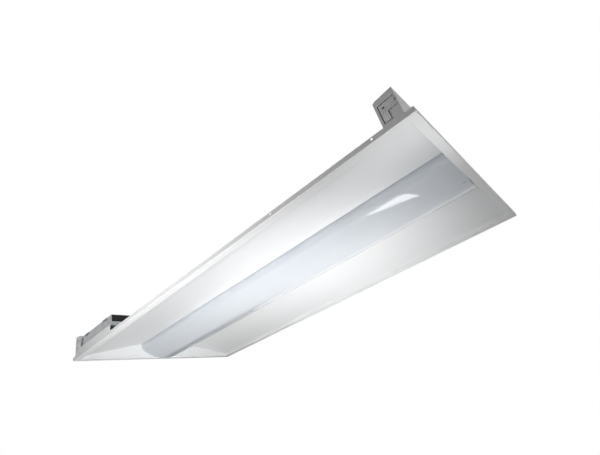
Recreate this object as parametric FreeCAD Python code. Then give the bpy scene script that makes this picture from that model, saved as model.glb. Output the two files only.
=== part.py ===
# Recessed troffer light for a 2 x 4 ft lay-in ceiling grid, in millimetres.
# Origin: centre of the opening, in the plane of the visible ledge (z = 0).
# +X runs along the light, +Y across it, +Z up into the ceiling void.
import FreeCAD, Part
import math
import os

os.makedirs("parts", exist_ok=True)
V = FreeCAD.Vector

# --- driving dimensions -------------------------------------------------
LENGTH = 1212.85            # over the two end ledges
WIDTH = 603.25              # over the two side ledges
BODY_HEIGHT = 68.6          # ledge face to the top of the end plates
SHEET = 0.8                 # painted and galvanised steel sheet
RIM_HEIGHT = 10.5           # upturned rim round the ledge
RIM_RADIUS = 1.5            # rounding between ledge and rim
SIDE_LEDGE = 18.5           # visible ledge along the long sides
END_LEDGE = 16.3            # visible ledge along the ends
FIT = 0.05                  # clearance between sheets that lie on each other
LOOSE = 0.3                 # clearance between pieces that move apart

# curved reflector wing between the ledge and the lens
RISER_WIDTH = 5.1
RISER_HEIGHT = 9.6
RISER_RADIUS = 6.0
WING_BULGE = 1.6
WING_ARCS = 3               # wide arcs along the wing, with short flats between them
WING_ARC_SHARE = 0.86       # part of each arc's run that is curved
WING_TOP = 47.5
SLOT_HALF = 86.0            # half width of the slot that the lens fills
LIP_FLANGE = 20.0           # flange at the top of the lip, under the back pan
BEND = 1.6                  # bend radius of hidden edges

# lens
LENS_GAP = 1.3
LENS_END_GAP = 1.0
LENS_THICK = 2.0
LENS_BOTTOM = -1.5
LENS_DEPTH = 40.44          # from the lowest line to where the sides stand upright
LENS_SHOULDER_R = 17.8
LENS_ARC_FLAT = 0.4         # keeps a short flat between the crown and shoulder arcs
LENS_NECK_Z = 41.5
LENS_NECK_IN = 2.2
LENS_NECK_R = 30.0
LENS_TOP = 60.0
PLUG_R = 4.0
PLUG_FROM_END = 11.4
PLUG_OFF = 20.6
PLUG_RIM = 0.1              # stands proud of the lens
PLUG_PAST = 1.0             # reaches in past the lens

# clips that hold the lens
LENS_CLIP_THICK = 0.4
LENS_CLIP_WIDTH = 20.0
LENS_CLIP_SPACING = 290.0
LENS_CLIP_COUNT = 4
LENS_CLIP_FIT = 0.1
LENS_CLIP_TOP_GAP = 2.0
LENS_CLIP_BENDS = (1.5, 5.0, 9.0)   # below the top of the lens
LENS_CLIP_BEND_R = 1.0
LENS_CLIP_NOSE = 1.084              # how far the nose reaches in past the lens's half width

# end plates and the tabs that swing out over the ceiling tees
BRACKET_DEPTH = 36.3
BRACKET_LOW = 2.0
BRACKET_EDGE_Z = 62.6
BRACKET_CORNER = 4.8
BRACKET_FALL = 3.6
BRACKET_FALL_IN = 1.5
BRACKET_FIT = 0.225         # between a bracket and the side panel's rim
TAB_TOP = 53.1
TAB_SLOPE = 2.4
TAB_ARM_LOW = 34.7
TAB_REACH = 28.1
TAB_LEG = 11.6
TAB_LOW = 17.0
TAB_SLOT = 1.8
TAB_HINGE_GAP = 0.2
TAB_AXIS_IN = 2.0
TAB_ARM_TAPER = 1.0
TAB_HOLE_R = 2.2
TAB_HOLE_Z = 43.6
TAB_HOLE_REACH = 21.0
RELIEF_LENGTH = 5.8
RELIEF_WIDTH = 2.0
TOP_FLANGE = 14.0
TOP_FLANGE_FROM_PAN = 6.0
TOP_FLANGE_FROM_SIDE = 8.0
POCKET_DEPTH = 20.0         # a pocket closes the space behind each clip
POCKET_LOW = 12.0
POCKET_FROM_BOX = 3.8       # shorter beside the driver box, so that its lid opens
POCKET_TAB_GAP = 0.6
HANGER_HOLE_R = 2.5
HANGER_IN = 30.0

# rim holes for grid screws: distance of each from the middle of the light
RIM_HOLE_R = 2.1
RIM_HOLE_Z = 6.6
RIM_HOLES_X = (530.8, 299.2, -365.8, -550.1)

# rivets between end plates, side panels and back pan
RIVET_R = 1.6
RIVET_HEAD_R = 3.2
RIVET_HEAD = 1.0
RIVET_TAIL_R = 2.2
RIVET_TAIL = 2.4
RIVET_UP = 7.0              # above the wing, or below the top of the pan
END_TAB_WIDTH = 20.0
END_TAB_HEIGHT = 13.0
SIDE_RIVETS_IN = (40.0, 105.0, 170.0)
PAN_RIVET_Y = 55.0

# back pan and its screws
SCREW_R = 2.0
SCREW_HEAD_R = 3.8
SCREW_HEAD = 2.4
SCREW_LENGTH = 7.0
SCREW_PAST = 1.0            # a driver screw reaches this far below the box
PAN_SCREW_COUNT = 5
PAN_SCREW_PITCH = 270.0

# light boards
BOARD_LENGTH = 560.0
BOARD_WIDTH = 28.0
BOARD_THICK = 1.6
BOARD_ROW_Y = 38.0
BOARD_MIDDLE_GAP = 10.0
LED_SIZE = 3.0
LED_HEIGHT = 0.7
LED_PITCH = 20.0
LED_END = 20.0
CONNECTOR = (10.0, 8.0, 5.0)
CONNECTOR_END = 2.0
BOARD_SCREW_R = 1.5
BOARD_SCREW_HEAD_R = 2.8
BOARD_SCREW_HEAD = 1.8
BOARD_SCREW_OFF = 10.0
BOARD_SCREW_END = 40.0
BOARD_SCREW_PAST = 1.6
BOARD_FIT = 0.01
HOLE_FIT = 0.2
JUMPER_R = 0.8
JUMPER_SPREAD = 2.4
JUMPER_BOW = 9.0

# driver box behind the left side panel
BOX_FROM_END = 32.125
BOX_LENGTH = 203.0
BOX_FROM_RIM = 4.6
BOX_WIDTH = 92.0
BOX_OVER_WING = 0.7
BOX_HEIGHT = 31.0
BOX_LIP = 11.0
WELD_FLANGE_IN = 2.0
WELD_FLANGE_GAP = 1.0       # from the far end plate's bracket
WELD_FLANGE_LOW = 12.0
WELD_FLANGE_END = 3.0
UPSTAND_LAP = 0.5
UPSTAND_OVER = 3.0
LID_LIP = 8.0
CAP_THICK = 2.0
CAP_GAP = 0.2
CAP_SIDE_GAP = 0.1
CAP_FOOT = 4.0
CAP_FOOT_THICK = 2.0

# lid hinge
PIN_R = 1.0
PIN_CLEAR = 0.04
KNUCKLE_R = 1.8
KNUCKLE_LENGTH = 8.0
KNUCKLE_GAP = 0.4
HINGE_OUT = 1.1
HINGE_CUT_GAP = 0.5
PIN_PAST = 0.6
HINGE_IN = 40.0
SLUG_R = 11.1
SLUG_GAP = 0.15
SLUG_FROM_END = 48.0
SLUG_FROM_SIDE = 46.0

# driver and wiring
DRIVER_LENGTH = 145.0
DRIVER_HEIGHT = 23.4
WIRING_WIDTH = 47.0         # left free beside the driver
DRIVER_FROM_END = 28.0
DRIVER_FROM_SIDE = 4.0
DRIVER_FOOT = 9.0
DRIVER_FOOT_THICK = 1.0
DRIVER_FOOT_WIDTH = 16.0
DRIVER_ROUND = 1.5
BUSHING_R = 11.0
BUSHING_BORE_R = 8.0
BUSHING_FLANGE_R = 13.0
BUSHING_FLANGE = 2.0
BUSHING_LENGTH = 12.0
BUSHING_FROM_SIDE = 19.0
BUSHING_UP = 16.5
NUT = (16.0, 10.0, 8.0)
NUT_PITCH = 14.0
NUT_FROM_SIDE = 7.0
NUT_FROM_END = 58.0
NUT_ROUND = 1.0
NUT_PORT = 8.0
LEAD_R = 1.3
BLACK_LEAD_IN = 4.0         # from the driver's outer side
BLACK_LEAD_REACH = 15.0     # past the driver's end before it turns back
WHITE_LEAD_IN = 10.0
WHITE_LEAD_REACH = 21.0
LED_LEAD_R = 2.0
GROMMET_R = 3.6
GROMMET_FLANGE_R = 5.0
GROMMET_FLANGE = 1.2
GROMMET_LOOSE = 1.0         # the lead bends a little inside its grommet
LED_LEAD_UP = 15.0
LED_LEAD_X = 13.0
LED_LEAD_OVER = 4.6         # above the pan
LED_LEAD_IN = 14.0          # from the driver's outer side
LED_LEAD_CLIMB = 30.0       # from the box before it climbs over the wing
LED_LEAD_SHIFT = 6.0
LED_LEAD_LAND = (22.0, 34.0)
LED_LEAD_HUMP = 3.0
LED_LEAD_DROP = 10.0        # from the end of the board to where it goes through the pan
GROUND_HEAD_R = 4.0
GROUND_HEAD = 2.6
GROUND_IN = 17.0
GROUND_SCREW_PAST = 2.0
RING_THICK = 0.8
RING_EDGE = 0.6
RING_TONGUE = 12.0
RING_TONGUE_WIDTH = 3.2
GROUND_CRIMP = 9.0
GROUND_RISE = (20.0, 34.0)  # the wire climbs between these distances from the screw

# --- places worked out from the driving dimensions ----------------------
HALF_L = LENGTH / 2
HALF_W = WIDTH / 2
WEB_X = HALF_L - END_LEDGE                  # inner face of an end plate
PANEL_X = WEB_X - FIT                       # end of side panels and back pan
LEDGE_Y = HALF_W - SIDE_LEDGE
RIM_IN = HALF_W - SHEET
PAN_TOP = BODY_HEIGHT
PAN_LOW = BODY_HEIGHT - SHEET
PAN_HALF = SLOT_HALF + LIP_FLANGE
BRACKET_Y = RIM_IN - BRACKET_FIT                 # outer face of an end plate's side bracket
TAB_AXIS_X = WEB_X - TAB_AXIS_IN
WING_LOW = (LEDGE_Y - RISER_WIDTH, RISER_HEIGHT)
LENS_HALF = SLOT_HALF - LENS_GAP
LENS_X = WEB_X - LENS_END_GAP
LENS_FLANK = 2 * math.atan((LENS_DEPTH - LENS_SHOULDER_R) / (LENS_HALF - LENS_SHOULDER_R))
LENS_CROWN_R = LENS_SHOULDER_R + (LENS_HALF - LENS_SHOULDER_R) / math.sin(LENS_FLANK) - LENS_ARC_FLAT
CROWN_Z = LENS_BOTTOM + LENS_CROWN_R        # centre of the lens's bottom arc
BOARD_LOW = PAN_LOW - BOARD_THICK
BOX_X0 = BOX_FROM_END - WEB_X
BOX_X1 = BOX_X0 + BOX_LENGTH
BOX_Y0 = -HALF_W + BOX_FROM_RIM
BOX_Y1 = BOX_Y0 + BOX_WIDTH


def wing_height(y):
    """Height of the visible face of the reflector wing at a distance y from the middle."""
    low_y, low_z = WING_LOW
    share = (low_y - y) / (low_y - SLOT_HALF)
    return low_z + share * (WING_TOP - low_z) + WING_BULGE * (1 - (2 * share - 1) ** 2)


BOX_Z0 = wing_height(-BOX_Y1) + SHEET + BOX_OVER_WING
UPSTAND_TOP = BOX_Z0 + UPSTAND_LAP
BUSHING_Z = BOX_Z0 + BUSHING_UP
LED_LEAD_Z = BOX_Z0 + LED_LEAD_UP
BOX_FLOOR = BOX_Z0 + SHEET
BOX_TOP = BOX_Z0 + BOX_HEIGHT
LID_LOW = BOX_TOP - SHEET
WALL_TOP = LID_LOW - LOOSE
HINGE_Y = BOX_Y0 - HINGE_OUT
HINGE_Z = WALL_TOP - LOOSE
HINGES_X = (BOX_X1 - HINGE_IN, BOX_X0 + HINGE_IN)
DRIVER_X0 = BOX_X0 + DRIVER_FROM_END
DRIVER_X1 = DRIVER_X0 + DRIVER_LENGTH
DRIVER_Y1 = BOX_Y1 - DRIVER_FROM_SIDE
DRIVER_Y0 = BOX_Y0 + WIRING_WIDTH
LEAD_HOLE_X = BOX_X0 + LED_LEAD_X
PAN_LEAD_X = -(BOARD_MIDDLE_GAP / 2 + BOARD_LENGTH + LED_LEAD_DROP)
NUTS_Y = [BOX_Y0 + NUT_FROM_SIDE + NUT[1] / 2 + NUT_PITCH * i for i in range(3)]
NUTS_X = BOX_X0 + NUT_FROM_END


# --- helpers ------------------------------------------------------------
def block(x0, x1, y0, y1, z0, z1):
    """Box between two corners given in any order."""
    low = V(min(x0, x1), min(y0, y1), min(z0, z1))
    high = V(max(x0, x1), max(y0, y1), max(z0, z1))
    size = high - low
    return Part.makeBox(size.x, size.y, size.z, low)


def rod(radius, start, end):
    """Round bar from start to end."""
    axis = V(*end) - V(*start)
    return Part.makeCylinder(radius, axis.Length, V(*start), axis)


def dome(radius, height, base, direction):
    """Low round head: a disc whose outer edge is rounded."""
    disc = Part.makeCylinder(radius, height, V(*base), V(*direction))
    far = V(*base) + V(*direction) * height
    rims = [e for e in disc.Edges if e.Closed and (e.CenterOfMass - far).Length < height / 2]
    return disc.makeFillet(height * 0.7, rims)


def bent_outline(corners, thickness):
    """Face of a bent strip in the YZ plane.

    corners are (y, z, bend radius); the thickness is laid off to the left
    of the direction of travel, or to the right where it is negative.
    """
    points = [V(0, y, z) for y, z, r in corners]
    radii = [r for y, z, r in corners]
    near = []
    far = []

    def normal(direction):
        return V(0, -direction.z, direction.y)

    def offset(point, side):
        return point + side * thickness

    last = points[0]
    first_way = (points[1] - points[0]).normalize()
    near_at = last
    far_at = offset(last, normal(first_way))
    start_pair = (near_at, far_at)
    for i in range(1, len(points) - 1):
        before = (points[i] - points[i - 1]).normalize()
        after = (points[i + 1] - points[i]).normalize()
        turn = before.getAngle(after)
        reach = radii[i] * math.tan(turn / 2)
        n1 = normal(before)
        n2 = normal(after)
        nm = (n1 + n2).normalize()
        left = 1 if before.y * after.z - before.z * after.y > 0 else -1
        a = points[i] - before * reach
        b = points[i] + after * reach
        centre = a + n1 * radii[i] * left
        m = centre - nm * radii[i] * left
        near.append(Part.makeLine(near_at, a))
        near.append(Part.Arc(a, m, b).toShape())
        far.append(Part.makeLine(far_at, offset(a, n1)))
        far.append(Part.Arc(offset(a, n1), offset(m, nm), offset(b, n2)).toShape())
        near_at = b
        far_at = offset(b, n2)
    last_way = (points[-1] - points[-2]).normalize()
    end_pair = (points[-1], offset(points[-1], normal(last_way)))
    near.append(Part.makeLine(near_at, end_pair[0]))
    far.append(Part.makeLine(far_at, end_pair[1]))
    caps = [Part.makeLine(*start_pair), Part.makeLine(*end_pair)]
    wire = Part.Wire(Part.__sortEdges__(near + far + caps))
    return Part.Face(wire)


def long_strip(corners, thickness, x0, x1):
    """Bent strip of constant section from x0 to x1."""
    face = bent_outline(corners, thickness)
    face.translate(V(x0, 0, 0))
    return face.extrude(V(x1 - x0, 0, 0))


def plate(points, normal_thickness):
    """Flat plate from corner points and a thickness vector."""
    wire = Part.makePolygon([V(*p) for p in points] + [V(*points[0])])
    return Part.Face(wire).extrude(V(*normal_thickness))


def wire_tube(points, radius):
    """Insulated wire along straight runs joined by the widest arcs that fit."""
    pts = [V(*p) for p in points]
    edges = []
    at = pts[0]
    for i in range(1, len(pts) - 1):
        before = pts[i] - pts[i - 1]
        after = pts[i + 1] - pts[i]
        turn = before.getAngle(after)
        reach = 0.45 * min(before.Length, after.Length)
        bend = reach / math.tan(turn / 2)
        d1 = V(before).normalize()
        d2 = V(after).normalize()
        a = pts[i] - d1 * reach
        b = pts[i] + d2 * reach
        towards = (d2 - d1).normalize()
        m = pts[i] + towards * (bend / math.cos(turn / 2) - bend)
        edges.append(Part.makeLine(at, a))
        edges.append(Part.Arc(a, m, b).toShape())
        at = b
    edges.append(Part.makeLine(at, pts[-1]))
    path = Part.Wire(edges)
    way = (pts[1] - pts[0]).normalize()
    ring = Part.Wire(Part.makeCircle(radius, pts[0], way))
    return path.makePipeShell([ring], True, False)


def joined(shapes):
    """One solid from touching or overlapping shapes."""
    whole = shapes[0].multiFuse(shapes[1:]) if len(shapes) > 1 else shapes[0]
    whole = whole.removeSplitter()
    if len(whole.Solids) == 1:
        return whole.Solids[0]
    return whole


SIDE_RIVETS = [(SLOT_HALF + d, wing_height(SLOT_HALF + d) + RIVET_UP) for d in SIDE_RIVETS_IN]


# --- side panels --------------------------------------------------------
def wing_arcs():
    """Corners (y, z, radius) of the wide arcs between the riser and the lip."""
    run = (WING_LOW[0] - SLOT_HALF) / WING_ARCS
    middles = [WING_LOW[0] - run * (i + 0.5) for i in range(WING_ARCS)]
    points = [V(0, y, wing_height(y) + WING_BULGE / WING_ARCS ** 2) for y in middles]
    around = [V(0, *WING_LOW)] + points + [V(0, SLOT_HALF, WING_TOP)]
    corners = []
    for i in range(WING_ARCS):
        before = around[i + 1] - around[i]
        after = around[i + 2] - around[i + 1]
        radius = WING_ARC_SHARE * run / 2 / math.tan(before.getAngle(after) / 2)
        corners.append((points[i].y, points[i].z, radius))
    return corners


def side_panel(side):
    """Rim, ledge, reflector wing and lens lip of one side, formed from one sheet."""
    corners = [
        (HALF_W, RIM_HEIGHT, 0),
        (HALF_W, 0, RIM_RADIUS),
        (LEDGE_Y, 0, BEND),
        (WING_LOW[0], WING_LOW[1], RISER_RADIUS),
    ]
    corners += wing_arcs()
    corners += [
        (SLOT_HALF, WING_TOP, BEND),
        (SLOT_HALF, PAN_LOW, BEND),
        (PAN_HALF, PAN_LOW, 0),
    ]
    corners = [(y * side, z, r) for y, z, r in corners]
    pieces = [long_strip(corners, -SHEET * side, -PANEL_X, PANEL_X)]
    for y, z in SIDE_RIVETS:
        for end in (-1, 1):
            a = y - END_TAB_WIDTH / 2
            b = y + END_TAB_WIDTH / 2
            lift = SHEET / 2
            points = [
                (PANEL_X * end, a * side, wing_height(a) + lift),
                (PANEL_X * end, b * side, wing_height(b) + lift),
                (PANEL_X * end, b * side, z + END_TAB_HEIGHT - RIVET_UP),
                (PANEL_X * end, a * side, z + END_TAB_HEIGHT - RIVET_UP),
            ]
            pieces.append(plate(points, (-SHEET * end, 0, 0)))
    if side < 0:
        x1 = BOX_X1
        x0 = BOX_X0 - UPSTAND_OVER
        pieces.append(block(x0, x1, -HALF_W, -RIM_IN, RIM_HEIGHT - SHEET, UPSTAND_TOP))
    panel = joined(pieces)
    cuts = []
    for x in RIM_HOLES_X:
        inner = (x, (RIM_IN - 1) * side, RIM_HOLE_Z)
        cuts.append(rod(RIM_HOLE_R, inner, (x, (HALF_W + 1) * side, RIM_HOLE_Z)))
    for y, z in SIDE_RIVETS:
        cuts.append(rod(RIVET_R + FIT, (-HALF_L, y * side, z), (HALF_L, y * side, z)))
    for x, y in pan_screw_places(side):
        cuts.append(rod(SCREW_R + FIT, (x, y, PAN_LOW - 2), (x, y, PAN_TOP)))
    return panel.cut(Part.makeCompound(cuts)).Solids[0]


def pan_screw_places(side):
    first = -(PAN_SCREW_COUNT - 1) / 2
    y = side * (SLOT_HALF + LIP_FLANGE / 2)
    return [((first + i) * PAN_SCREW_PITCH, y) for i in range(PAN_SCREW_COUNT)]


# --- end plates and tabs ------------------------------------------------
def bracket_points(end, side, low):
    """Outline of a side bracket on its inner face, down to the height low."""
    y = (BRACKET_Y - SHEET) * side
    inner = WEB_X - BRACKET_DEPTH
    fall_x = WEB_X - BRACKET_FALL_IN
    corner_x = inner + BRACKET_CORNER
    return [
        ((WEB_X + SHEET) * end, y, low),
        ((WEB_X + SHEET) * end, y, BODY_HEIGHT),
        (fall_x * end, y, BODY_HEIGHT),
        (corner_x * end, y, BODY_HEIGHT - BRACKET_FALL),
        (inner * end, y, BRACKET_EDGE_Z),
        (inner * end, y, low),
    ]


def bracket_outline(end, side):
    """Side bracket of an end plate, before the tab is cut in it."""
    return plate(bracket_points(end, side, BRACKET_LOW), (0, SHEET * side, 0))


def tab_points(grow, side, end, hinge_gap):
    """Outline of the swing-out tab, an arm from the bend line with a leg hanging from its end."""
    a = TAB_AXIS_X - hinge_gap
    out = TAB_AXIS_X - TAB_REACH
    leg = out + TAB_LEG
    y = (BRACKET_Y - SHEET) * side
    shape = [
        (a, TAB_TOP + grow),
        (out - grow, TAB_TOP - TAB_SLOPE + grow),
        (out - grow, TAB_LOW - grow),
        (leg + grow, TAB_LOW - grow),
        (leg + grow, TAB_ARM_LOW - TAB_ARM_TAPER - grow),
        (a, TAB_ARM_LOW - grow),
    ]
    return [(x * end, y, z) for x, z in shape]


def relief_hole(end, side):
    """Oblong hole on the bend line, which makes the tab easy to swing out."""
    x = TAB_AXIS_X * end
    y0 = (BRACKET_Y - SHEET - 1) * side
    y1 = (BRACKET_Y + 1) * side
    half = (RELIEF_LENGTH - RELIEF_WIDTH) / 2
    r = RELIEF_WIDTH / 2
    middle = block(x - r, x + r, y0, y1, TAB_HOLE_Z - half, TAB_HOLE_Z + half)
    ends = [rod(r, (x, y0, TAB_HOLE_Z + s * half), (x, y1, TAB_HOLE_Z + s * half)) for s in (-1, 1)]
    return joined([middle] + ends)


def tbar_clip(end, side):
    """Tab that swings out over the ceiling tee, about the bend line at the corner."""
    tab = plate(tab_points(0, side, end, TAB_HINGE_GAP), (0, SHEET * side, 0))
    x = (TAB_AXIS_X - TAB_HOLE_REACH) * end
    hole = rod(TAB_HOLE_R, (x, (BRACKET_Y - 2) * side, TAB_HOLE_Z), (x, (BRACKET_Y + 1) * side, TAB_HOLE_Z))
    return tab.cut(Part.makeCompound([hole, relief_hole(end, side)])).Solids[0]


def clip_pocket(end, side):
    """Pocket behind a side bracket: its top, back and far side, open at the foot."""
    y = (BRACKET_Y - SHEET) * side
    inner = WEB_X - BRACKET_DEPTH
    fall_x = WEB_X - BRACKET_FALL_IN
    corner_x = inner + BRACKET_CORNER
    hollow = [
        (WEB_X * end, y, POCKET_LOW - 1),
        (WEB_X * end, y, BODY_HEIGHT - SHEET),
        (fall_x * end, y, BODY_HEIGHT - SHEET),
        ((corner_x + SHEET / 2) * end, y, BODY_HEIGHT - BRACKET_FALL - SHEET),
        ((inner + SHEET) * end, y, BRACKET_EDGE_Z - SHEET / 2),
        ((inner + SHEET) * end, y, POCKET_LOW - 1),
    ]
    filled = plate(bracket_points(end, side, POCKET_LOW), (0, -POCKET_DEPTH * side, 0))
    pocket = filled.cut(plate(hollow, (0, (SHEET - POCKET_DEPTH) * side, 0)))
    if end < 0 and side < 0:
        x = (POCKET_FROM_BOX - BOX_X0) * end
        back = y - POCKET_DEPTH * side
        front = y - POCKET_TAB_GAP * side
        kept = block(x, (WEB_X + SHEET) * end, y, back, POCKET_LOW, BODY_HEIGHT)
        wall = block(x, x + SHEET * end, front, back, POCKET_LOW, BODY_HEIGHT)
        pocket = joined([pocket.common(kept), filled.common(wall)])
    return pocket


def end_plate(end):
    """Web, ledge, rims, brackets and top flanges of one end, with the pockets behind its clips."""
    web = block(WEB_X * end, (WEB_X + SHEET) * end, -BRACKET_Y, BRACKET_Y, 0, BODY_HEIGHT)
    ledge = block(WEB_X * end, HALF_L * end, -HALF_W, HALF_W, 0, RIM_HEIGHT)
    inside = block((WEB_X - 1) * end, (HALF_L - SHEET) * end, -RIM_IN, RIM_IN, SHEET, RIM_HEIGHT + 1)
    rounded = []
    for edge in ledge.Edges:
        c = edge.CenterOfMass
        on_side = abs(abs(c.y) - HALF_W) < 0.01
        on_end = abs(abs(c.x) - HALF_L) < 0.01
        on_face = abs(c.z) < 0.01
        if (on_face and (on_side or on_end)) or (on_side and on_end):
            rounded.append(edge)
    ledge = ledge.makeFillet(RIM_RADIUS, rounded).cut(inside)
    pieces = [web, ledge]
    for side in (-1, 1):
        bracket = bracket_outline(end, side)
        cut = plate(tab_points(TAB_SLOT, side, end, -TAB_HINGE_GAP / 2), (0, SHEET * side, 0))
        pieces.append(bracket.cut(cut).cut(relief_hole(end, side)))
        y0 = (PAN_HALF + TOP_FLANGE_FROM_PAN) * side
        y1 = (BRACKET_Y - TOP_FLANGE_FROM_SIDE) * side
        x0 = (WEB_X + SHEET - TOP_FLANGE) * end
        pieces.append(block(x0, (WEB_X + SHEET) * end, y0, y1, PAN_LOW, PAN_TOP))
        pieces.append(clip_pocket(end, side))
    whole = joined(pieces)
    cuts = []
    for y, z in rivet_places():
        cuts.append(rod(RIVET_R + FIT, ((WEB_X - 2) * end, y, z), ((WEB_X + 3) * end, y, z)))
    for side in (-1, 1):
        x = (WEB_X + SHEET - TOP_FLANGE / 2) * end
        y = (HALF_W - HANGER_IN) * side
        cuts.append(rod(HANGER_HOLE_R, (x, y, PAN_LOW - 1), (x, y, PAN_TOP + 1)))
    return whole.cut(Part.makeCompound(cuts)).Solids[0]


def rivet_places():
    """Places (y, z) of the rivets in an end plate."""
    places = [(y * side, z) for side in (-1, 1) for y, z in SIDE_RIVETS]
    places += [(PAN_RIVET_Y * side, PAN_TOP - RIVET_UP) for side in (-1, 1)]
    return places


def end_plate_rivets(end):
    rivets = []
    for y, z in rivet_places():
        inner = (PANEL_X - SHEET) * end
        outer = (WEB_X + SHEET) * end
        shank = rod(RIVET_R, (inner, y, z), (outer, y, z))
        head = dome(RIVET_HEAD_R, RIVET_HEAD, (outer, y, z), (end, 0, 0))
        tail = dome(RIVET_TAIL_R, RIVET_TAIL, (inner, y, z), (-end, 0, 0))
        rivets.append(joined([shank, head, tail]))
    return Part.makeCompound(rivets)


# --- back pan -----------------------------------------------------------
def back_pan():
    """Flat pan over the lamp slot: it carries the light boards and closes the housing."""
    pieces = [block(-PANEL_X, PANEL_X, -PAN_HALF, PAN_HALF, PAN_LOW, PAN_TOP)]
    for end in (-1, 1):
        for side in (-1, 1):
            y0 = (PAN_RIVET_Y - END_TAB_WIDTH / 2) * side
            y1 = (PAN_RIVET_Y + END_TAB_WIDTH / 2) * side
            z0 = PAN_TOP - END_TAB_HEIGHT
            pieces.append(block((PANEL_X - SHEET) * end, PANEL_X * end, y0, y1, z0, PAN_TOP - SHEET / 2))
    pan = joined(pieces)
    cuts = []
    for side in (-1, 1):
        for x, y in pan_screw_places(side):
            cuts.append(rod(SCREW_R + FIT, (x, y, PAN_LOW - 1), (x, y, PAN_TOP + 1)))
        for end in (-1, 1):
            cuts.append(rod(RIVET_R + FIT, ((PANEL_X - 2) * end, PAN_RIVET_Y * side, PAN_TOP - RIVET_UP),
                            (HALF_L * end, PAN_RIVET_Y * side, PAN_TOP - RIVET_UP)))
    for x, y in board_screw_places():
        cuts.append(rod(BOARD_SCREW_R + FIT, (x, y, PAN_LOW - 1), (x, y, PAN_TOP + 1)))
    y = -BOARD_ROW_Y
    cuts.append(rod(GROMMET_R, (PAN_LEAD_X, y, PAN_LOW - 1), (PAN_LEAD_X, y, PAN_TOP + 1)))
    return pan.cut(Part.makeCompound(cuts)).Solids[0]


def pan_screws():
    screws = []
    for side in (-1, 1):
        for x, y in pan_screw_places(side):
            shank = rod(SCREW_R, (x, y, PAN_TOP - SCREW_LENGTH), (x, y, PAN_TOP))
            screws.append(joined([shank, dome(SCREW_HEAD_R, SCREW_HEAD, (x, y, PAN_TOP), (0, 0, 1))]))
    return Part.makeCompound(screws)


# --- light boards -------------------------------------------------------
def board_start(end):
    return BOARD_MIDDLE_GAP / 2 * end


def led_board(end, side):
    x0 = board_start(end)
    x1 = x0 + BOARD_LENGTH * end
    y = BOARD_ROW_Y * side
    board = block(x0, x1, y - BOARD_WIDTH / 2, y + BOARD_WIDTH / 2, BOARD_LOW, PAN_LOW - BOARD_FIT)
    holes = [rod(BOARD_SCREW_R + HOLE_FIT, (bx, by, BOARD_LOW - 1), (bx, by, PAN_LOW + 1))
             for bx, by in board_screw_places() if bx * end > 0 and by * side > 0]
    return board.cut(Part.makeCompound(holes)).Solids[0]


def board_screw_places():
    places = []
    for end in (-1, 1):
        for side in (-1, 1):
            x0 = board_start(end)
            middle = BOARD_LENGTH / 2
            for along in (BOARD_SCREW_END, middle, BOARD_LENGTH - BOARD_SCREW_END):
                places.append((x0 + along * end, (BOARD_ROW_Y + BOARD_SCREW_OFF) * side))
    return places


def board_screws():
    screws = []
    for x, y in board_screw_places():
        shank = rod(BOARD_SCREW_R, (x, y, BOARD_LOW), (x, y, PAN_TOP + BOARD_SCREW_PAST))
        head = dome(BOARD_SCREW_HEAD_R, BOARD_SCREW_HEAD, (x, y, BOARD_LOW), (0, 0, -1))
        screws.append(joined([shank, head]))
    return Part.makeCompound(screws)


def led_packages():
    leds = []
    count = int((BOARD_LENGTH - 2 * LED_END) // LED_PITCH) + 1
    half = LED_SIZE / 2
    for end in (-1, 1):
        for side in (-1, 1):
            for i in range(count):
                x = board_start(end) + (LED_END + LED_PITCH * i) * end
                y = BOARD_ROW_Y * side
                leds.append(block(x - half, x + half, y - half, y + half, BOARD_LOW - LED_HEIGHT, BOARD_LOW))
    return Part.makeCompound(leds)


def connector_ends():
    """Inner and outer end of each board connector, as (face x towards the wires, way, y)."""
    ends = []
    for end in (-1, 1):
        for side in (-1, 1):
            y = BOARD_ROW_Y * side
            ends.append((board_start(end) + CONNECTOR_END * end, end, y))
            ends.append((board_start(end) + (BOARD_LENGTH - CONNECTOR_END) * end, -end, y))
    return ends


def board_connectors():
    long, wide, high = CONNECTOR
    shapes = []
    for x, way, y in connector_ends():
        shapes.append(block(x, x + long * way, y - wide / 2, y + wide / 2, BOARD_LOW - high, BOARD_LOW))
    return Part.makeCompound(shapes)


def jumper_wires():
    """Short wires between boards: straight ones across the middle, bowed ones between the rows."""
    z = BOARD_LOW - CONNECTOR[2] / 2
    inner = BOARD_MIDDLE_GAP / 2 + CONNECTOR_END
    outer = BOARD_MIDDLE_GAP / 2 + BOARD_LENGTH - CONNECTOR_END
    wires = []
    for side in (-1, 1):
        for s in (-1, 1):
            y = BOARD_ROW_Y * side + s * JUMPER_SPREAD / 2
            wires.append(rod(JUMPER_R, (-inner, y, z), (inner, y, z)))
    for s in (-1, 1):
        y = BOARD_ROW_Y + s * JUMPER_SPREAD / 2
        turn = outer + JUMPER_BOW + s * JUMPER_SPREAD / 2
        wires.append(wire_tube([(outer, -y, z), (turn, -y, z), (turn, y, z), (outer, y, z)], JUMPER_R))
    return Part.makeCompound(wires)


# --- lens ---------------------------------------------------------------
def lens():
    """Bowed translucent cover of constant section with upright legs that the clips hold."""
    corner_z = LENS_BOTTOM - LENS_CROWN_R * (1 / math.cos(LENS_FLANK) - 1)
    shoulder_z = corner_z + LENS_HALF * math.tan(LENS_FLANK)
    half = [
        (LENS_HALF - LENS_NECK_IN, LENS_TOP, 0),
        (LENS_HALF, LENS_NECK_Z, LENS_NECK_R),
        (LENS_HALF, shoulder_z, LENS_SHOULDER_R),
    ]
    corners = [(-y, z, r) for y, z, r in half] + [(0, corner_z, LENS_CROWN_R)] + half[::-1]
    shell = long_strip(corners, LENS_THICK, -LENS_X, LENS_X)
    low, high = plug_axis()
    return shell.cut(rod(PLUG_R + FIT / 2, low, high)).Solids[0]


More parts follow.
